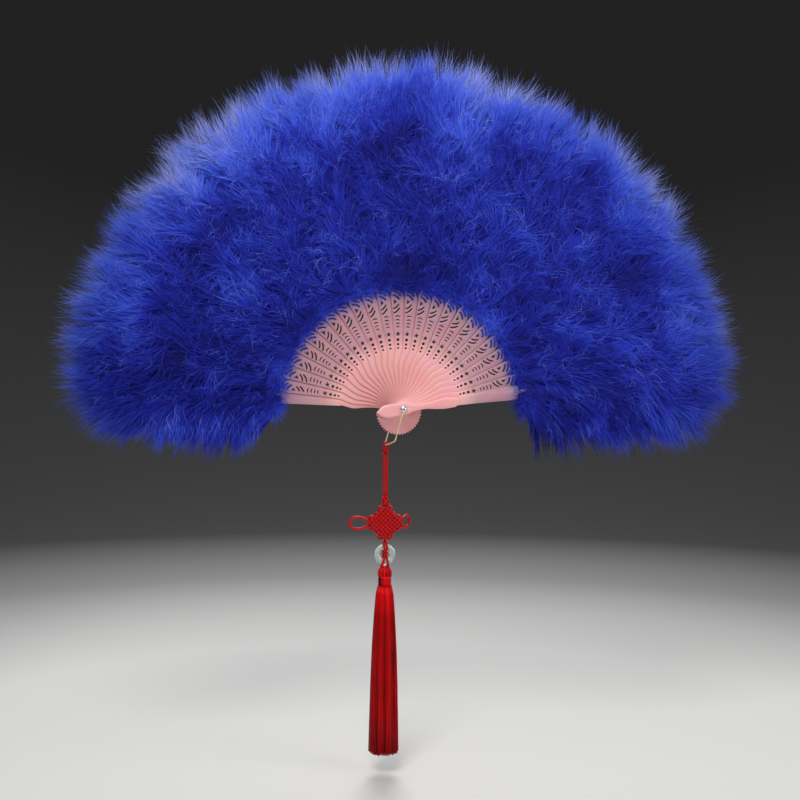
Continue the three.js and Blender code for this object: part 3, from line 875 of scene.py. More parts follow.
def skirt_mesh():
    rng = np.random.default_rng(52)
    bm = bmesh.new()
    core_length = 0.97 * SKIRT_LENGTH
    sides = [(0.74 * skirt_radius(share), SKIRT_TOP - core_length * share) for share in THREAD_STEPS]
    # The core takes the deepest tone: painted shade inside the skirt.
    lay_core(bm, [(0, SKIRT_TOP), *sides, (0, SKIRT_TOP - core_length)], 0.0, 32)
    for k in range(THREADS):
        angle = 2 * math.pi * (k + rng.uniform(-0.5, 0.5)) / THREADS
        depth = 1 - 0.2 * rng.random() ** 1.5
        length = SKIRT_LENGTH * (1 - 0.03 * rng.random() ** 2)
        lean, swing, beat = rng.normal(0, 0.035), rng.normal(0, 0.025), rng.uniform(2, 6)
        fold = 0.045 * math.cos(9 * angle)
        points = []
        for share in THREAD_STEPS:
            sway = share * (lean + swing * math.sin(beat * share + k))
            radius = skirt_radius(share) * depth * (1 + fold * min(share * 3, 1))
            points.append(around(angle + sway, radius, SKIRT_TOP - length * share))
        # Painted light and shade: outer threads on the bulging clumps are lighter and those in the
        # folds darker, with a slower wave round the skirt.
        fold_light = (0.13 * math.cos(9 * angle) + 0.1 * math.cos(5 * angle + 1)) * (depth > 0.9)
        tone = float(np.clip(0.36 + fold_light + rng.normal(0, 0.17), 0, 1))
        lay_tube(bm, points, THREAD_RADIUS, 4, tone=tone)
    return finished(bm, "tassel_skirt_threads")


tassel_skirt = add_piece(
    "tassel_skirt_threads", skirt_mesh(), red_thread, "tassel", "tassel_thread", "tassel_skirt",
)
print("tassel:", len(tassel_skirt.data.polygons) + len(tassel_cap.data.polygons), "faces of thread")

# %% [markdown]
# Both strands have a known length, and they run into the knots. The ring and the tassel hang
# further down, on a loop of their own.

# %% [markdown]
# The bail is one length of gilded wire. It winds round one end of the rivet as an eye, runs down,
# crosses under the heads as a bar that slopes to where the cord hangs, and ends in the second eye.
# Its path is laid out in the bail's own plane and then tilted.

# %% The bail
WIRE_RADIUS = 0.6 * mm
EYE_RADIUS = 2.5
FRONT_LEG = 28.5
BEND = 2.4


def tilted(across, y, down):
    """A place on the bail: across its plane, along the rivet, and down towards its bar."""
    x = across * math.cos(BAIL_TILT) - down * math.sin(BAIL_TILT)
    z = -across * math.sin(BAIL_TILT) - down * math.cos(BAIL_TILT)
    return Vector((x * mm, y * mm, z * mm))


def bail_mesh():
    legs = []
    for side, length in ((-1, FRONT_LEG), (1, BAIL_LENGTH)):
        leg = []
        for angle in range(335, 34, -20):
            turn = math.radians(angle)
            leg.append(tilted(EYE_RADIUS * math.sin(turn), side * BAIL_Y, EYE_RADIUS * math.cos(turn)))
        for across, down in ((0.55, 3.5), (0.1, 4.6), (0, 6)):
            leg.append(tilted(across, side * BAIL_Y, down))
        for down in (12, 20, length - BEND - 2):
            leg.append(tilted(0, side * BAIL_Y, down))
        for angle in (0, 35, 70):
            turn = math.radians(angle)
            inward = BEND * (1 - math.cos(turn))
            leg.append(tilted(0, side * (BAIL_Y - inward), length - BEND + BEND * math.sin(turn)))
        legs.append(leg)
    level = pendant_y / mm
    slope = (BAIL_LENGTH - FRONT_LEG) / (BAIL_Y + level - 2.2)
    bar = [tilted(0, y, FRONT_LEG + slope * (y + BAIL_Y)) for y in (-16, -6, 4, 11)]
    bar += [tilted(0, y, BAIL_LENGTH) for y in (level - 2, level, level + 1.2)]
    bm = bmesh.new()
    lay_tube(bm, curve_through(legs[0] + bar + legs[1][::-1], 3), WIRE_RADIUS, 12)
    return finished(bm, "gold_wire_bail")


def metal_material(name, colour, dark, roughness, metallic):
    """Polished metal with faint drawing lines, and a duller film where it is handled."""
    material, shader = new_material(name, colour, Metallic=metallic, Roughness=roughness)
    film = clouds(material, Scale=260, Detail=3)["Fac"]
    join(material, ramp(material, film, [(0.35, dark), (0.6, colour)]), shader.inputs["Base Color"])
    rough = rescale(material, film, To_Min=roughness * 0.7, To_Max=roughness * 1.5)
    join(material, rough, shader.inputs["Roughness"])
    bump(material, shader, film, 0.05, 0.05 * mm)
    return material


gilded = metal_material("gilded_wire", (255, 232, 196), (255, 214, 160), 0.42, 0.7)
bail = add_piece("gold_wire_bail", bail_mesh(), gilded, "bail", "gold_wire", "bail")

# %% [markdown]
# The rivet is a plated pin with a low domed head on each side, turned from one profile.

# %% The rivet
RIVET_PROFILE = (
    (0, 22.05), (0.9, 21.96), (1.75, 21.7), (2.45, 21.3),
    (2.85, 20.9), (3.0, 20.62), (2.9, 20.47), (1.6, 20.45),
)


def rivet_mesh():
    bm = bmesh.new()
    profile = RIVET_PROFILE + tuple((radius, -y) for radius, y in reversed(RIVET_PROFILE))
    turn_line(bm, [(radius * mm, -y * mm, 0) for radius, y in profile], axis=(0, 1, 0), steps=40)
    return finished(bm, "domed_rivet")


plated = metal_material("plated_rivet", (240, 240, 242), (208, 208, 214), 0.3, 1.0)
rivet = add_piece("domed_rivet", rivet_mesh(), plated, "front_guard", "rivet_metal", "rivet")
print("bail and rivet:", len(bail.data.polygons), len(rivet.data.polygons), "faces")

# %% [markdown]
# The sticks are moulded from a soft pink plastic that lets a little light in. It is glossy, with
# faint flow marks. Near the rivet it is a warm pink, and towards the thin pierced ends, next to the
# down, it is painted darker, greyer and bluer: painted shade and a painted blue cast from the down.
# The colours read how far a point lies from the rivet.

# %% Pink plastic


def plastic_material():
    material, shader = new_material(
        "pink_plastic", (232, 160, 166), Roughness=0.34, Subsurface_Weight=0.25,
        Subsurface_Scale=1.2 * mm, Subsurface_Radius=(1.0, 0.5, 0.45), Specular_IOR_Level=0.5,
        Coat_Weight=0.25, Coat_Roughness=0.2,
    )
    # Painted shade and a painted blue cast from the down: the pink turns darker, greyer and bluer
    # towards the pierced ends.
    tone = ramp(material, distance_out(material, (1, 0, 1), BLADE_LENGTH), [
        (0.0, (246, 182, 182)), (0.28, (248, 172, 170)), (0.5, (246, 184, 184)),
        (0.62, (208, 156, 164)), (0.86, (186, 140, 154)), (1.0, (152, 122, 160)),
    ])
    flow = clouds(material, Scale=55, Detail=3)
    mix = add_node(material, "ShaderNodeMix", data_type="RGBA", blend_type="SOFT_LIGHT", Factor=0.25)
    join(material, tone, mix.inputs[6])
    join(material, flow["Color"], mix.inputs[7])
    join(material, mix.outputs[2], shader.inputs["Base Color"])
    bump(material, shader, clouds(material, Scale=900, Detail=2)["Fac"], 0.08, 0.05 * mm)
    rough = rescale(material, flow["Fac"], To_Min=0.28, To_Max=0.44)
    join(material, rough, shader.inputs["Roughness"])
    return material


pink_plastic = plastic_material()

# %% [markdown]
# A stick is a flat moulding: a waisted blade, a narrow rib that carries the plume, and a leaf-shaped
# head past the rivet. Its outline is drawn flat, across and along. The waist is given by a few
# points on each edge, as shares of the blade's width and length.

# %% Outline of a stick
LEFT_EDGE_SHARES = (
    (-0.43, 0.02), (-0.25, 0.1), (-0.22, 0.21), (-0.33, 0.3), (-0.4, 0.36),
    (-0.33, 0.42), (-0.23, 0.48), (-0.27, 0.6), (-0.41, 0.8), (-0.525, 0.95),
)
RIGHT_EDGE_SHARES = (
    (0.48, 0.915), (0.46, 0.78), (0.41, 0.6), (0.39, 0.44), (0.41, 0.35),
    (0.34, 0.27), (0.23, 0.19), (0.26, 0.1), (0.43, 0.02),
)
TIP_SHARES = ((-0.36, 1), (0.25, 0.965))
HEAD_SHARES = ((0.5, -0.45), (0.4, -0.75), (0, -1), (-0.4, -0.75), (-0.5, -0.45))
RIB_WIDTH = 3.6 * mm
RIB_OFFSET = -3.2 * mm


def scaled(shares, width, length):
    return [Vector((across * width, along * length)) for across, along in shares]


def rib_outline(shoulder, offset):
    left = offset - RIB_WIDTH / 2
    right = offset + RIB_WIDTH / 2
    return [
        Vector((left, shoulder)), Vector((left, RIB_END - RIB_WIDTH / 2)), Vector((offset, RIB_END)),
        Vector((right, RIB_END - RIB_WIDTH / 2)), Vector((right, shoulder - RIB_WIDTH / 2)),
    ]


def head_outline():
    neck = 0.43 * BLADE_WIDTH / HEAD_WIDTH
    right = scaled(((neck, 0.02), *HEAD_SHARES[:3]), HEAD_WIDTH, HEAD_LENGTH)
    left = scaled((*HEAD_SHARES[2:], (-neck, 0.02)), HEAD_WIDTH, HEAD_LENGTH)
    return curve_through(right, 4)[1:] + curve_through(left, 4)[1:-1]


def stick_outline():
    tip_left, tip_right = scaled(TIP_SHARES, BLADE_WIDTH, BLADE_LENGTH)
    left = curve_through(scaled(LEFT_EDGE_SHARES, BLADE_WIDTH, BLADE_LENGTH), 4)
    right = curve_through(scaled(RIGHT_EDGE_SHARES, BLADE_WIDTH, BLADE_LENGTH), 4)
    return [*left, *rib_outline(tip_left.y, RIB_OFFSET), tip_right, *right, *head_outline()]


print("outline of a stick:", len(stick_outline()), "points")

# %% [markdown]
# The mould leaves the piercings open, so each is one more closed line in the same flat drawing. From
# the rivet outwards they are three dots that grow, a five-pointed star, four arches, and two pairs
# of slots that lean towards each other with a wedge between them.

# %% Piercings of a stick


def ring(centre, radius, corners, inner=None):
    """A round hole, or a star where every second corner lies at an inner radius."""
    points = []
    for k in range(corners):
        angle = 2 * math.pi * k / corners
        reach = radius if inner is None or k % 2 == 0 else inner
        points.append(centre + reach * Vector((math.sin(angle), math.cos(angle))))
    return points


def pierce_at(across, along):
    return Vector((across * BLADE_WIDTH, along * BLADE_LENGTH))


def arch(centre, width, rise, band):
    """A crescent: the outer arc one way and the inner arc back."""
    outer = []
    inner = []
    for k in range(9):
        side = math.cos(math.pi * k / 8)
        up = math.sin(math.pi * k / 8)
        outer.append(centre + Vector((side * width / 2, up * rise)))
        inner.append(centre + Vector((side * width / 2, up * (rise - band) - band * 0.15)))
    return outer + inner[1:-1][::-1]


def slot(start, end, width, bow):
    """A slot with rounded ends that bows sideways in the middle."""
    along = (end - start).normalized()
    side = Vector((-along.y, along.x))
    points = []
    for end_point, other, turn in ((start, end, 90), (end, start, -90)):
        for k in range(5):
            angle = math.radians(turn + 45 * k)
            points.append(end_point + width / 2 * (along * math.cos(angle) + side * math.sin(angle)))
        for share in (0.3, 0.7):
            swell = 4 * share * (1 - share) * bow * side
            edge = width / 2 * side * (-1 if end_point is start else 1)
            points.append(end_point.lerp(other, share) + swell + edge)
    return points


def piercings():
    """Three dots, a star, four arches, and two pairs of slots with a wedge between them."""
    centre = -0.03
    rise, band = 0.15 * BLADE_WIDTH, 0.085 * BLADE_WIDTH
    holes = []
    for along, radius in ((0.499, 0.08), (0.53, 0.096), (0.568, 0.117)):
        holes.append(ring(pierce_at(centre, along), radius * BLADE_WIDTH, 12))
    holes.append(ring(pierce_at(centre, 0.616), 0.22 * BLADE_WIDTH, 10, 0.09 * BLADE_WIDTH))
    for along, width in ((0.667, 0.27), (0.694, 0.32), (0.723, 0.36), (0.754, 0.4)):
        holes.append(arch(pierce_at(centre, along), width * BLADE_WIDTH, rise, band))
    for start, end, width, bow in (
        ((-0.29, 0.79), (0.1, 0.83), 0.12, -0.05), ((-0.31, 0.826), (0.04, 0.86), 0.12, -0.05),
        ((-0.31, 0.939), (0.09, 0.905), 0.15, 0.05), ((-0.32, 0.972), (0.18, 0.937), 0.14, 0.05),
    ):
        holes.append(slot(pierce_at(*start), pierce_at(*end), width * BLADE_WIDTH, bow * BLADE_WIDTH))
    holes.append([pierce_at(-0.3, 0.86), pierce_at(-0.3, 0.904), pierce_at(-0.067, 0.882)])
    return holes


print("piercings:", len(piercings()), "in each stick")

# %% [markdown]
# A flat curve makes the plate best: Blender fills the outline, leaves the holes open, gives it a
# thickness and rounds its edges. The plate is then made a mesh, cut into strips, thinned towards
# its edges, and stood up.

# %% A plate from its outline
EDGE_ROUNDING = 0.24 * mm
CROWN_REACH = 2.6 * mm
CROWN_DROP = 0.7
CUT_SPACING = 0.9 * mm


def crown_plate(bm, outline):
    """Thins a plate softly towards its outline, so that it catches the light as a moulding does."""
    half = BLADE_WIDTH * 0.55
    cuts = int(half / CUT_SPACING)
    for step in range(-cuts, cuts + 1):
        geometry = bm.verts[:] + bm.edges[:] + bm.faces[:]
        cut = (step * CUT_SPACING, 0, 0)
        bmesh.ops.bisect_plane(bm, geom=geometry, plane_co=cut, plane_no=(1, 0, 0))
    corners = np.array([place[:] for place in outline])
    following = np.roll(corners, -1, axis=0) - corners
    for vert in bm.verts:
        offset = np.array(vert.co.xy) - corners
        share = np.clip((offset * following).sum(axis=1) / (following ** 2).sum(axis=1), 0, 1)
        distance = np.linalg.norm(offset - share[:, None] * following, axis=1).min()
        vert.co.z *= 1 - CROWN_DROP * max(1 - distance / CROWN_REACH, 0) ** 2


def plate_mesh(name, outline, holes, thickness):
    """A crowned plate with rounded edges, drawn across and along, that stands up in the XZ plane."""
    curve = bpy.data.curves.new(name, "CURVE")
    curve.dimensions = "2D"
    curve.fill_mode = "BOTH"
    curve.extrude = thickness / 2 - EDGE_ROUNDING
    curve.bevel_depth = EDGE_ROUNDING
    curve.bevel_resolution = 1
    curve.offset = -EDGE_ROUNDING
    for loop in (outline, *holes):
        spline = curve.splines.new("POLY")
        spline.points.add(len(loop) - 1)
        for point, place in zip(spline.points, loop):
            point.co = (place.x, place.y, 0, 1)
        spline.use_cyclic_u = True
    drawing = bpy.data.objects.new(name, curve)
    bpy.context.scene.collection.objects.link(drawing)
    bpy.context.view_layer.update()
    solid = drawing.evaluated_get(bpy.context.evaluated_depsgraph_get())
    mesh = bpy.data.meshes.new_from_object(solid)
    bpy.data.objects.remove(drawing)
    bm = bmesh.new()
    bm.from_mesh(mesh)
    bmesh.ops.remove_doubles(bm, verts=bm.verts, dist=1e-6)
    crown_plate(bm, outline)
    bmesh.ops.transform(bm, matrix=Matrix.Rotation(math.radians(90), 4, "X"), verts=bm.verts)
    bmesh.ops.recalc_face_normals(bm, faces=bm.faces)
    bm.to_mesh(mesh)
    bm.free()
    mesh.name = name
    return mesh


# %% [markdown]
# All pierced sticks come from one mould, so one mesh is made and copied. Each copy is turned to its
# own direction and moved to its own layer.

# %% The pierced sticks
HOLE_RADIUS = 1.9 * mm
SHARP_ANGLE = math.radians(50)
rivet_hole = ring(Vector((0, 0)), HOLE_RADIUS, 24)
stick_mesh = plate_mesh("stick_plate", stick_outline(), [rivet_hole, *piercings()], STICK_THICKNESS)
print("one stick:", len(stick_mesh.vertices), "vertices")


def place_of(index):
    """Turns a piece that points up into the direction and the layer of its stick."""
    turn = Matrix.Rotation(math.radians(90 - stick_angle(index)), 4, "Y")
    return Matrix.Translation((0, layer_y(index), 0)) @ turn


def shade_by_angle(mesh):
    """Smooth over the rounded edges, crisp where faces meet at a steep angle."""
    mesh.shade_smooth()
    mesh.set_sharp_from_angle(angle=SHARP_ANGLE)


for index in range(1, LAST):
    mesh = stick_mesh.copy()
    mesh.transform(place_of(index))
    shade_by_angle(mesh)
    stick = body_of(index)
    add_piece(f"{stick}_plate", mesh, pink_plastic, stick, "pink_plastic", stick)

# %% [markdown]
# The two guards are plain and thicker. They are cut straight across, and a shallow raised panel with
# softened edges stiffens the outer face.

# %% The guards
PANEL_HEIGHT = 0.3 * mm
PANEL_LENGTH = 49 * mm
PANEL_END = 5 * mm
PANEL_WIDTH = 7.2 * mm


def guard_outline():
    half = GUARD_WIDTH / 2
    waist = (half * 0.6, GUARD_LENGTH * 0.5)
    corner = (half, GUARD_LENGTH * 0.97)
    mirrored = [Vector((-across, along)) for across, along in (waist, corner)]
    left_low = [pair for pair in LEFT_EDGE_SHARES if pair[1] < 0.5]
    right_low = [pair for pair in RIGHT_EDGE_SHARES if pair[1] < 0.5]
    left = curve_through([*scaled(left_low, BLADE_WIDTH, BLADE_LENGTH), *mirrored], 4)
    right = curve_through(
        [Vector(corner), Vector(waist), *scaled(right_low, BLADE_WIDTH, BLADE_LENGTH)], 4,
    )
    rib = rib_outline(GUARD_LENGTH, 0)
    rib[-1].y = GUARD_LENGTH
    ends = [Vector((side * half, GUARD_LENGTH)) for side in (-1, 1)]
    return [*left, ends[0], *rib, ends[1], *right, *head_outline()]


def guard_mesh(outward):
    plate = plate_mesh("guard_plate", guard_outline(), [rivet_hole], GUARD_THICKNESS)
    bm = bmesh.new()
    bm.from_mesh(plate)
    middle = Vector((0, outward * GUARD_THICKNESS / 2, GUARD_LENGTH - PANEL_END - PANEL_LENGTH / 2))
    size = Matrix.Diagonal((PANEL_WIDTH, PANEL_HEIGHT * 2, PANEL_LENGTH, 1))
    panel = bmesh.ops.create_cube(bm, size=1, matrix=Matrix.Translation(middle) @ size)["verts"]
    edges = list({edge for vert in panel for edge in vert.link_edges})
    bmesh.ops.bevel(
        bm, geom=edges, offset=0.2 * mm, affect="EDGES", segments=2, profile=0.5, material=-1,
    )
    bm.to_mesh(plate)
    bm.free()
    return plate


for index, outward in ((0, -1), (LAST, 1)):
    mesh = guard_mesh(outward)
    mesh.transform(place_of(index))
    shade_by_angle(mesh)
    guard = body_of(index)
    add_piece(f"{guard}_plate", mesh, pink_plastic, guard, "pink_plastic", guard)

# %% [markdown]
# Marabou is the down of a turkey or stork: soft barbs that leave the quill at an angle, curl over
# and end in a haze. Hair curves would be lost in the exported model, so a barb is a slim
# three-sided spike with a few bends. It is made once with mesh operators, and thousands of copies
# are bent over the plumes. A straight hair needs two segments and a curled one needs four.

# %% One barb
BELLY_SHARES = (0.6, 1.0, 0.85, 0.6)


def barb_template(steps):
    """A unit barb along +Z: corner points with their share of the length, and its faces."""
    bm = bmesh.new()
    bmesh.ops.create_cone(bm, cap_ends=True, segments=3, radius1=1, radius2=0, depth=1)
    bmesh.ops.translate(bm, verts=bm.verts, vec=(0, 0, 0.5))
    for step in range(1, steps):
        geometry = bm.verts[:] + bm.edges[:] + bm.faces[:]
        bmesh.ops.bisect_plane(bm, geom=geometry, plane_co=(0, 0, step / steps), plane_no=(0, 0, 1))
    for vert in bm.verts:
        ring_number = round(vert.co.z * steps)
        if ring_number < steps:
            vert.co.xy = vert.co.xy.normalized() * BELLY_SHARES[ring_number]
    bmesh.ops.remove_doubles(bm, verts=bm.verts, dist=1e-6)
    bmesh.ops.recalc_face_normals(bm, faces=bm.faces)
    bm.verts.ensure_lookup_table()
    points = np.array([vert.co[:] for vert in bm.verts])
    faces = [[vert.index for vert in face.verts] for face in bm.faces]
    bm.free()
    return points, faces


hair = barb_template(2)
curl = barb_template(4)
for kind, (points, faces) in (("hair", hair), ("curl", curl)):
    print(kind, "has", sum(len(face) - 2 for face in faces), "triangles")

# %% [markdown]
# A plume is a soft cushion of down with barbs growing out of it, and its shape is a rounded wedge
# along the stick. A point on it is given by its share across the wedge, its share along it, and the
# face it is on. Towards the fan's two lower corners the plumes droop, which limits how far they
# reach.

# %% The shape of a plume
CUSHION_START = 103 * mm
CUSHION_END = 284 * mm
CUSHION_SHARE = 0.56
OVERLAP = 1.1
LOWEST = 23 * mm
CORNER_ROUND = 24 * mm
THICKNESS_SHARES = (
    (107, 0.4), (127, 0.62), (163, 0.86), (217, 1.0), (268, 0.88), (294, 0.6), (308, 0.22),
)
WAVE_LENGTH = 13 * mm
wave_draw = np.random.default_rng(77)
WAVES = wave_draw.normal(0, 1, (2, 9, 3)) / WAVE_LENGTH
PHASES = wave_draw.uniform(0, 2 * np.pi, (2, 9))


def unit(vectors):
    return vectors / np.linalg.norm(vectors, axis=-1, keepdims=True)


def flow_at(points, which, fineness=1.0):
    """A smooth wave through space, about -1 to 1, that neighbouring barbs share."""
    waves = np.sin(fineness * points @ WAVES[which].T + PHASES[which])
    return waves.sum(axis=-1) / 3


def half_thickness(radius):
    radii, shares = zip(*THICKNESS_SHARES)
    return PLUME_THICKNESS / 2 * np.interp(radius / mm, radii, shares)


def edge_radius(angle):
    """Where the cushions end, for angles in degrees: lumpy, and short at the lower corners."""
    turn = np.radians(angle)
    lumps = 2.5 * np.sin(9 * turn + 0.6) + 2 * np.sin(23 * turn) + 1.5 * np.sin(41 * turn + 2)
    corner = np.maximum(np.maximum(12 - angle, angle - 168), 0)
    return CUSHION_END + (lumps + 8 * np.cos(turn) - 0.11 * corner ** 2) * mm


def on_cushion(index, spread, across, along, face):
    """Places on a plume's cushion: across from -1 to 1, along from 0 to 1, face -1 or 1."""
    ends = np.sqrt(np.maximum(1 - (2 * along - 1) ** 2, 0))
    distance = CUSHION_START + (CUSHION_END - CUSHION_START) * along
    drop = LOWEST * np.clip((distance - CUSHION_START) / CORNER_ROUND, 0.1, 1) ** 0.6
    below = np.degrees(np.arcsin(drop / distance))
    low = np.maximum(stick_angle(index) + spread[0] - OVERLAP, -below)
    high = np.minimum(stick_angle(index) + spread[1] + OVERLAP, 180 + below)
    angle = (low + high) / 2 + across * ends ** 0.35 * (high - low) / 2
    radius = CUSHION_START + (edge_radius(angle) - CUSHION_START) * along
    crown = face * np.sqrt(np.maximum(1 - np.abs(across) ** 3, 0)) * ends ** 0.6
    depth = layer_y(index) + crown * CUSHION_SHARE * half_thickness(radius)
    turn = np.radians(angle)
    return np.stack([radius * np.cos(turn), depth, radius * np.sin(turn)], axis=-1)


print("cushions end about", round(float(edge_radius(np.array(90.0))) / mm), "mm out")

# %% [markdown]
# The cushion itself keeps daylight from showing through between the barbs. It is a sphere whose
# points are moved to their places on the wedge, and a slow wave makes it lumpy, as combed down is.
# The move can turn the sphere inside out, and then its volume is less than nothing, so the faces of
# such a cushion are turned over.

# %% The cushion of a plume
LUMP_HEIGHT = 1.2 * mm


def cushion_mesh(index, spread):
    """The cushion as a sphere of points moved to their places, with a lumpy surface."""
    bm = bmesh.new()
    bmesh.ops.create_uvsphere(bm, u_segments=20, v_segments=30, radius=1)
    sphere = np.array([vert.co[:] for vert in bm.verts])
    around_axis = np.maximum(np.hypot(sphere[:, 0], sphere[:, 1]), 1e-6)
    face = np.sign(np.round(sphere[:, 1], 6))
    places = on_cushion(index, spread, sphere[:, 0] / around_axis, (sphere[:, 2] + 1) / 2, face)
    places[:, 1] += face * LUMP_HEIGHT * flow_at(places, 0, 3.5)
    for vert, place in zip(bm.verts, places):
        vert.co = place
    bmesh.ops.recalc_face_normals(bm, faces=bm.faces)
    if bm.calc_volume(signed=True) < 0:
        bmesh.ops.reverse_faces(bm, faces=bm.faces)
    faces = [[vert.index for vert in polygon.verts] for polygon in bm.faces]
    bm.free()
    return places, faces


# %% [markdown]
# The down is given a tone for every place on the fan, which the material turns into a colour. It is
# painted deepest close to the sticks, as painted shade where the down lies in its own shade. It is
# paler towards the rim, partly because the tips are paler and partly as a painted glow, and most of
# all at the top, as painted light from above.

# %% Tones of the down, with painted light and shade
RIM_DEPTH = 62 * mm
SHADED_DEPTH = 70 * mm
LIT_TOP_HEIGHT = 190 * mm


def rim_share(points):
    """0 over most of the fan, growing to 1 where the cushions end."""
    radius = np.hypot(points[:, 0], points[:, 2])
    angle = np.degrees(np.arctan2(points[:, 2], points[:, 0]))
    angle = np.where(angle < -90, angle + 360, angle)
    return np.clip(1 - (edge_radius(angle) - radius) / RIM_DEPTH, 0, 1)


def tone_at(points):
    """Painted shade near the sticks, paler tips and a painted glow towards the rim, and painted light
    from above at the top of the fan.
    """
    patches = 0.09 * flow_at(points, 1, 0.5) + 0.05 * flow_at(points, 0, 1.2)
    height = np.clip(points[:, 2] / LIT_TOP_HEIGHT, 0, 1)
    radius = np.hypot(points[:, 0], points[:, 2])
    shaded = np.clip(1 - (radius - CUSHION_START) / SHADED_DEPTH, 0, 1)
    # Painted: the shaded term is painted shade, and the rim term, larger at the top, is partly paler
    # tips and partly painted light.
    return 0.31 - 0.08 * shaded + (0.14 + 0.3 * height) * rim_share(points) ** 1.6 + patches


# %% [markdown]
# A barb curls: it leaves its root in one direction and ends in another. The copies of the template
# are bent between the two by plain sums on all of them at once, which is far quicker than an
# operator for each.

# %% Bend the barbs
SPIKE_SHADE = 0.45


def bent_copies(template, roots, starts, ends, lengths, widths, leaning):
    """Corners of the barbs, which bend from one way to another, and soft normals for them.

    Down scatters light until it looks like one soft body, so a barb is shaded mostly as the cushion
    under it would be, and only a little as the spike that it is.
    """
    points = template[0]
    share = points[:, 2][None, :, None]
    middle = roots[:, None] + lengths[:, None, None] * (
        starts[:, None] * share + (ends - starts)[:, None] * share ** 2 / 2
    )
    across = unit(np.cross(starts, ends + np.array([0.013, 0.029, 0.017])))
    over = unit(np.cross(starts, across))
    offset = points[None, :, 0, None] * across[:, None] + points[None, :, 1, None] * over[:, None]
    normals = unit(leaning[:, None] + SPIKE_SHADE * offset)
    return middle + offset * widths[:, None, None], normals


# %% [markdown]
# The barbs start on the cushion. They lean outwards from the rivet and up from the face, a slow wave
# through space turns neighbours the same way, and small tufts keep together, as combed down lies.
# Near the lower corners they hang. All places come from a seeded draw, so every run gives the same
# fan.

# %% Places and directions of the barbs
HANGING_HEIGHT = 95 * mm


def draw_barbs(rng, index, spread, count, tuft, along_range, length, lift, swirl, curling, tone):
    """Barbs of one kind: roots, first and last directions, lengths and tones."""
    groups = count // tuft
    low, high = along_range
    near, far = (CUSHION_START + share * (CUSHION_END - CUSHION_START) for share in along_range)
    radius = np.sqrt(near ** 2 + (far ** 2 - near ** 2) * rng.random(groups))
    along = low + (high - low) * (radius - near) / (far - near)
    across = rng.uniform(-1, 1, groups)
    face = np.where(rng.random(groups) < 0.5, 1, -1)
    total = groups * tuft
    along, across, face = (np.repeat(values, tuft) for values in (along, across, face))
    along = np.clip(along + rng.normal(0, 0.006, total), 0, 1)
    across = np.clip(across + rng.normal(0, 0.05, total), -1, 1)
    roots = on_cushion(index, spread, across, along, face)
    outwards = unit(roots * (1, 0, 1))
    sideways = np.stack([-outwards[:, 2], np.zeros(total), outwards[:, 0]], axis=1)
    away = face[:, None] * np.array([0.0, 1.0, 0.0])
    rim = rim_share(roots)

    def headed(turned, raised):
        level = np.cos(turned)[:, None] * outwards + np.sin(turned)[:, None] * sideways
        return np.cos(raised)[:, None] * level + np.sin(raised)[:, None] * away

    turn = np.repeat(rng.normal(0, swirl, groups), tuft) + rng.normal(0, 0.3 * swirl, total)
    turn = (turn + 0.75 * flow_at(roots, 0) + 0.4 * flow_at(roots, 1, 2.2)) * (1 - 0.6 * rim)
    rise = np.repeat(rng.normal(lift, 9, groups), tuft) + rng.normal(0, 5, total)
    rise = np.radians(np.clip(rise * (1 - 0.35 * rim), 4, 48))
    bend = turn + curling * np.where(rng.random(total) < 0.5, 1, -1) * rng.uniform(0.5, 1.5, total)
    lower = rise - np.radians(rng.normal(34, 12, total))
    hanging = np.clip(0.6 - roots[:, 2] / HANGING_HEIGHT, 0, 0.9) * (1 - 0.5 * rim)
    hanging = hanging[:, None]
    down = np.array([0.0, 0.0, -1.0])
    starts = unit(headed(turn, rise) * (1 - 0.6 * hanging) + 0.6 * hanging * down)
    ends = unit(headed(bend, lower) * (1 - hanging) + 1.1 * hanging * down)
    lengths = length * mm * rng.uniform(0.6, 1.15, total)
    tones = tone_at(roots) + tone + np.repeat(rng.normal(0, 0.05, groups), tuft)
    tones += rng.normal(0, 0.02, total)
    leaning = away * (1 - 0.6 * rim[:, None]) + outwards * (0.15 + 0.85 * rim[:, None])
    return roots, starts, ends, lengths, tones, unit(leaning)


# %% [markdown]
# A plume is one mesh of its cushion and all its barbs. Each barb carries two numbers in its map, its
# tone and how far along it a point lies, which the material turns into a deep root and a pale tip.

# %% Join a plume


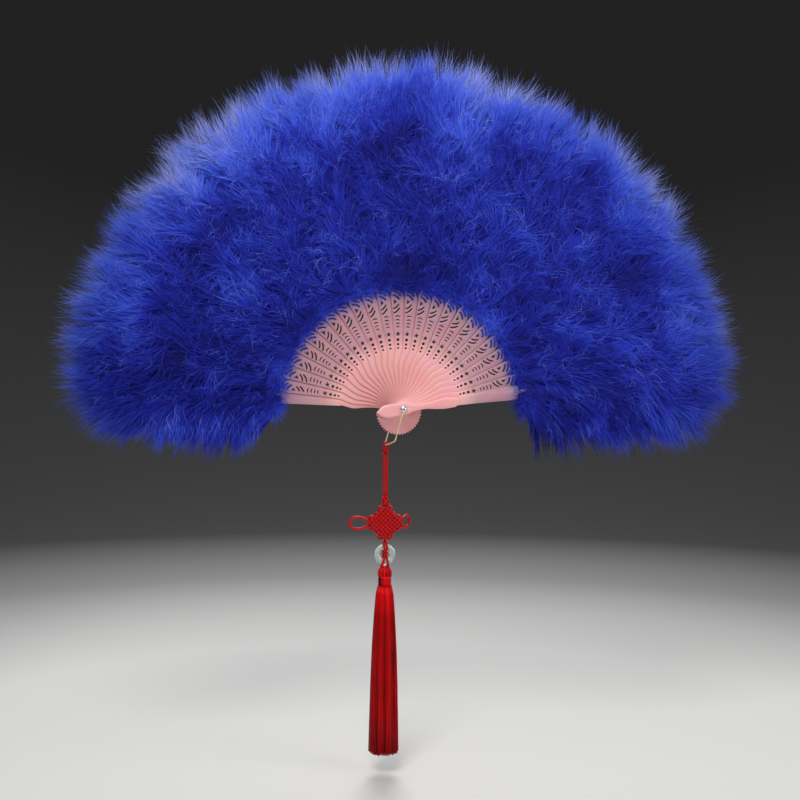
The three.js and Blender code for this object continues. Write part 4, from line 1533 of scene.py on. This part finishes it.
def join_batches(name, cushion, batches):
    """One mesh of the cushion and the barbs; the map holds the tone and the place along a barb."""
    flat = np.concatenate(cushion[1])
    points = [cushion[0]]
    loops = [flat]
    totals = [[len(face) for face in cushion[1]]]
    # The cushion is painted a little deeper than the barbs over it: painted shade under the barbs.
    maps = [np.stack([tone_at(cushion[0])[flat] - 0.06, np.full(len(flat), 0.2)], axis=1)]
    soft = [np.zeros_like(cushion[0])]
    base = len(cushion[0])
    for (template_points, template_faces), (corners, normals), tones in batches:
        count, per_barb = corners.shape[:2]
        flat = np.concatenate(template_faces)
        points.append(corners.reshape(-1, 3))
        soft.append(normals.reshape(-1, 3))
        loops.append((flat[None] + (base + np.arange(count) * per_barb)[:, None]).ravel())
        totals.append(np.tile([len(face) for face in template_faces], count))
        shares = np.tile(template_points[flat, 2], count)
        maps.append(np.stack([np.repeat(tones, len(flat)), shares], axis=1))
        base += count * per_barb
    points, loops, totals, maps = (np.concatenate(part) for part in (points, loops, totals, maps))
    starts = np.concatenate([[0], np.cumsum(totals)[:-1]])
    mesh = bpy.data.meshes.new(name)
    mesh.vertices.add(len(points))
    mesh.vertices.foreach_set("co", points.astype(np.float32).ravel())
    mesh.loops.add(len(loops))
    mesh.loops.foreach_set("vertex_index", loops.astype(np.int32))
    mesh.polygons.add(len(totals))
    mesh.polygons.foreach_set("loop_start", starts.astype(np.int32))
    mesh.polygons.foreach_set("loop_total", totals.astype(np.int32))
    mesh.uv_layers.new(name="UVMap").data.foreach_set("uv", maps.astype(np.float32).ravel())
    mesh.update(calc_edges=True)
    mesh.shade_smooth()
    mesh.normals_split_custom_set_from_vertices(np.concatenate(soft).tolist())
    return mesh


# %% [markdown]
# Five kinds of barbs make a plume: short down that covers it, long barbs over that, a fine fringe at
# the rim, a ruff where the plume begins, and a few pale curls. Each kind is one row of numbers.

# %% The kinds of barbs on a plume
# template, share of all, barbs in a tuft, part of the plume, length, width, lift, swirl, curling, tone
BARB_KINDS = (
    (hair, 0.42, 4, (0.02, 0.94), 20, 0.24, 28, 0.4, 0.25, 0.0),
    (hair, 0.34, 6, (0.1, 0.96), 32, 0.2, 18, 0.3, 0.2, 0.03),
    (hair, 0.1, 2, (0.84, 1.0), 33, 0.09, 10, 0.35, 0.35, 0.14),
    (hair, 0.07, 1, (0.0, 0.04), 14, 0.12, 22, 2.0, 0.8, 0.12),
    (curl, 0.07, 2, (0.1, 0.97), 20, 0.13, 34, 0.8, 1.7, 0.36),
)


def plume_mesh(index, spread, hairs):
    """One plume: its cushion, short down, long barbs, a fringe, an inner ruff and pale curls."""
    rng = np.random.default_rng(4100 + index)
    batches = []
    for template, share, tuft, along_range, length, width, *habit in BARB_KINDS:
        count = int(share * hairs)
        drawn = draw_barbs(rng, index, spread, count, tuft, along_range, length, *habit)
        widths = width * mm * rng.uniform(0.7, 1.25, len(drawn[0]))
        batches.append((template, bent_copies(template, *drawn[:4], widths, drawn[5]), drawn[4]))
    return join_batches(f"plume_{index:02d}_marabou", cushion_mesh(index, spread), batches)


# %% [markdown]
# Down looks soft because light scatters in it, so its finish is rough, with a little sheen and
# hardly any gloss. Its colour blends from deep royal blue to a greyer tip by the tone in the map,
# and a soft noise breaks it up.

# %% Marabou


def marabou_material():
    """Dyed down: deep royal blue at the roots, lighter and greyer towards the tips."""
    material, shader = new_material(
        "royal_blue_marabou", (36, 48, 176), Roughness=0.75, Sheen_Weight=0.3, Sheen_Roughness=0.5,
        Sheen_Tint=linear(120, 140, 255), Specular_IOR_Level=0.2,
    )
    tone, along = map_axes(material)
    patches = clouds(material, Scale=24, Detail=4, Roughness=0.6)
    paler = combine(material, "MULTIPLY_ADD", along, 0.21, tone)
    patched = combine(material, "MULTIPLY_ADD", patches["Fac"], 0.5, paler)
    shade = ramp(material, combine(material, "SUBTRACT", patched, 0.25), [
        (0.0, (8, 9, 84)), (0.28, (20, 24, 136)), (0.46, (34, 46, 184)),
        (0.66, (66, 94, 232)), (0.84, (100, 128, 246)), (1.0, (158, 168, 240)),
    ])
    join(material, shade, shader.inputs["Base Color"])
    return material


marabou = marabou_material()

# %% [markdown]
# Every stick and guard gets its plume. The outermost two hang over the guards' outer sides and have
# more barbs, because they cover more.

# %% The plumes
HALF_PITCH = PITCH_ANGLE / 2
GUARD_SIDE = GUARD_PITCH - HALF_PITCH
OUTER_HANG = 30
SPREADS = {0: (-OUTER_HANG, GUARD_SIDE), LAST: (-GUARD_SIDE, OUTER_HANG)}
OUTER_HAIRS, INNER_HAIRS = 10900, 5400

plumes = []
for index in range(LAST + 1):
    outermost = index in SPREADS
    spread = SPREADS.get(index, (-HALF_PITCH, HALF_PITCH))
    mesh = plume_mesh(index, spread, OUTER_HAIRS if outermost else INNER_HAIRS)
    name = f"plume_{index:02d}"
    plume = add_piece(f"{name}_marabou", mesh, marabou, body_of(index), "marabou", name)
    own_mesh(plume)
    plumes.append(plume)
counted = sum(len(plume.data.loops) - 2 * len(plume.data.polygons) for plume in plumes)
print("marabou:", counted, "triangles in", len(plumes), "plumes")
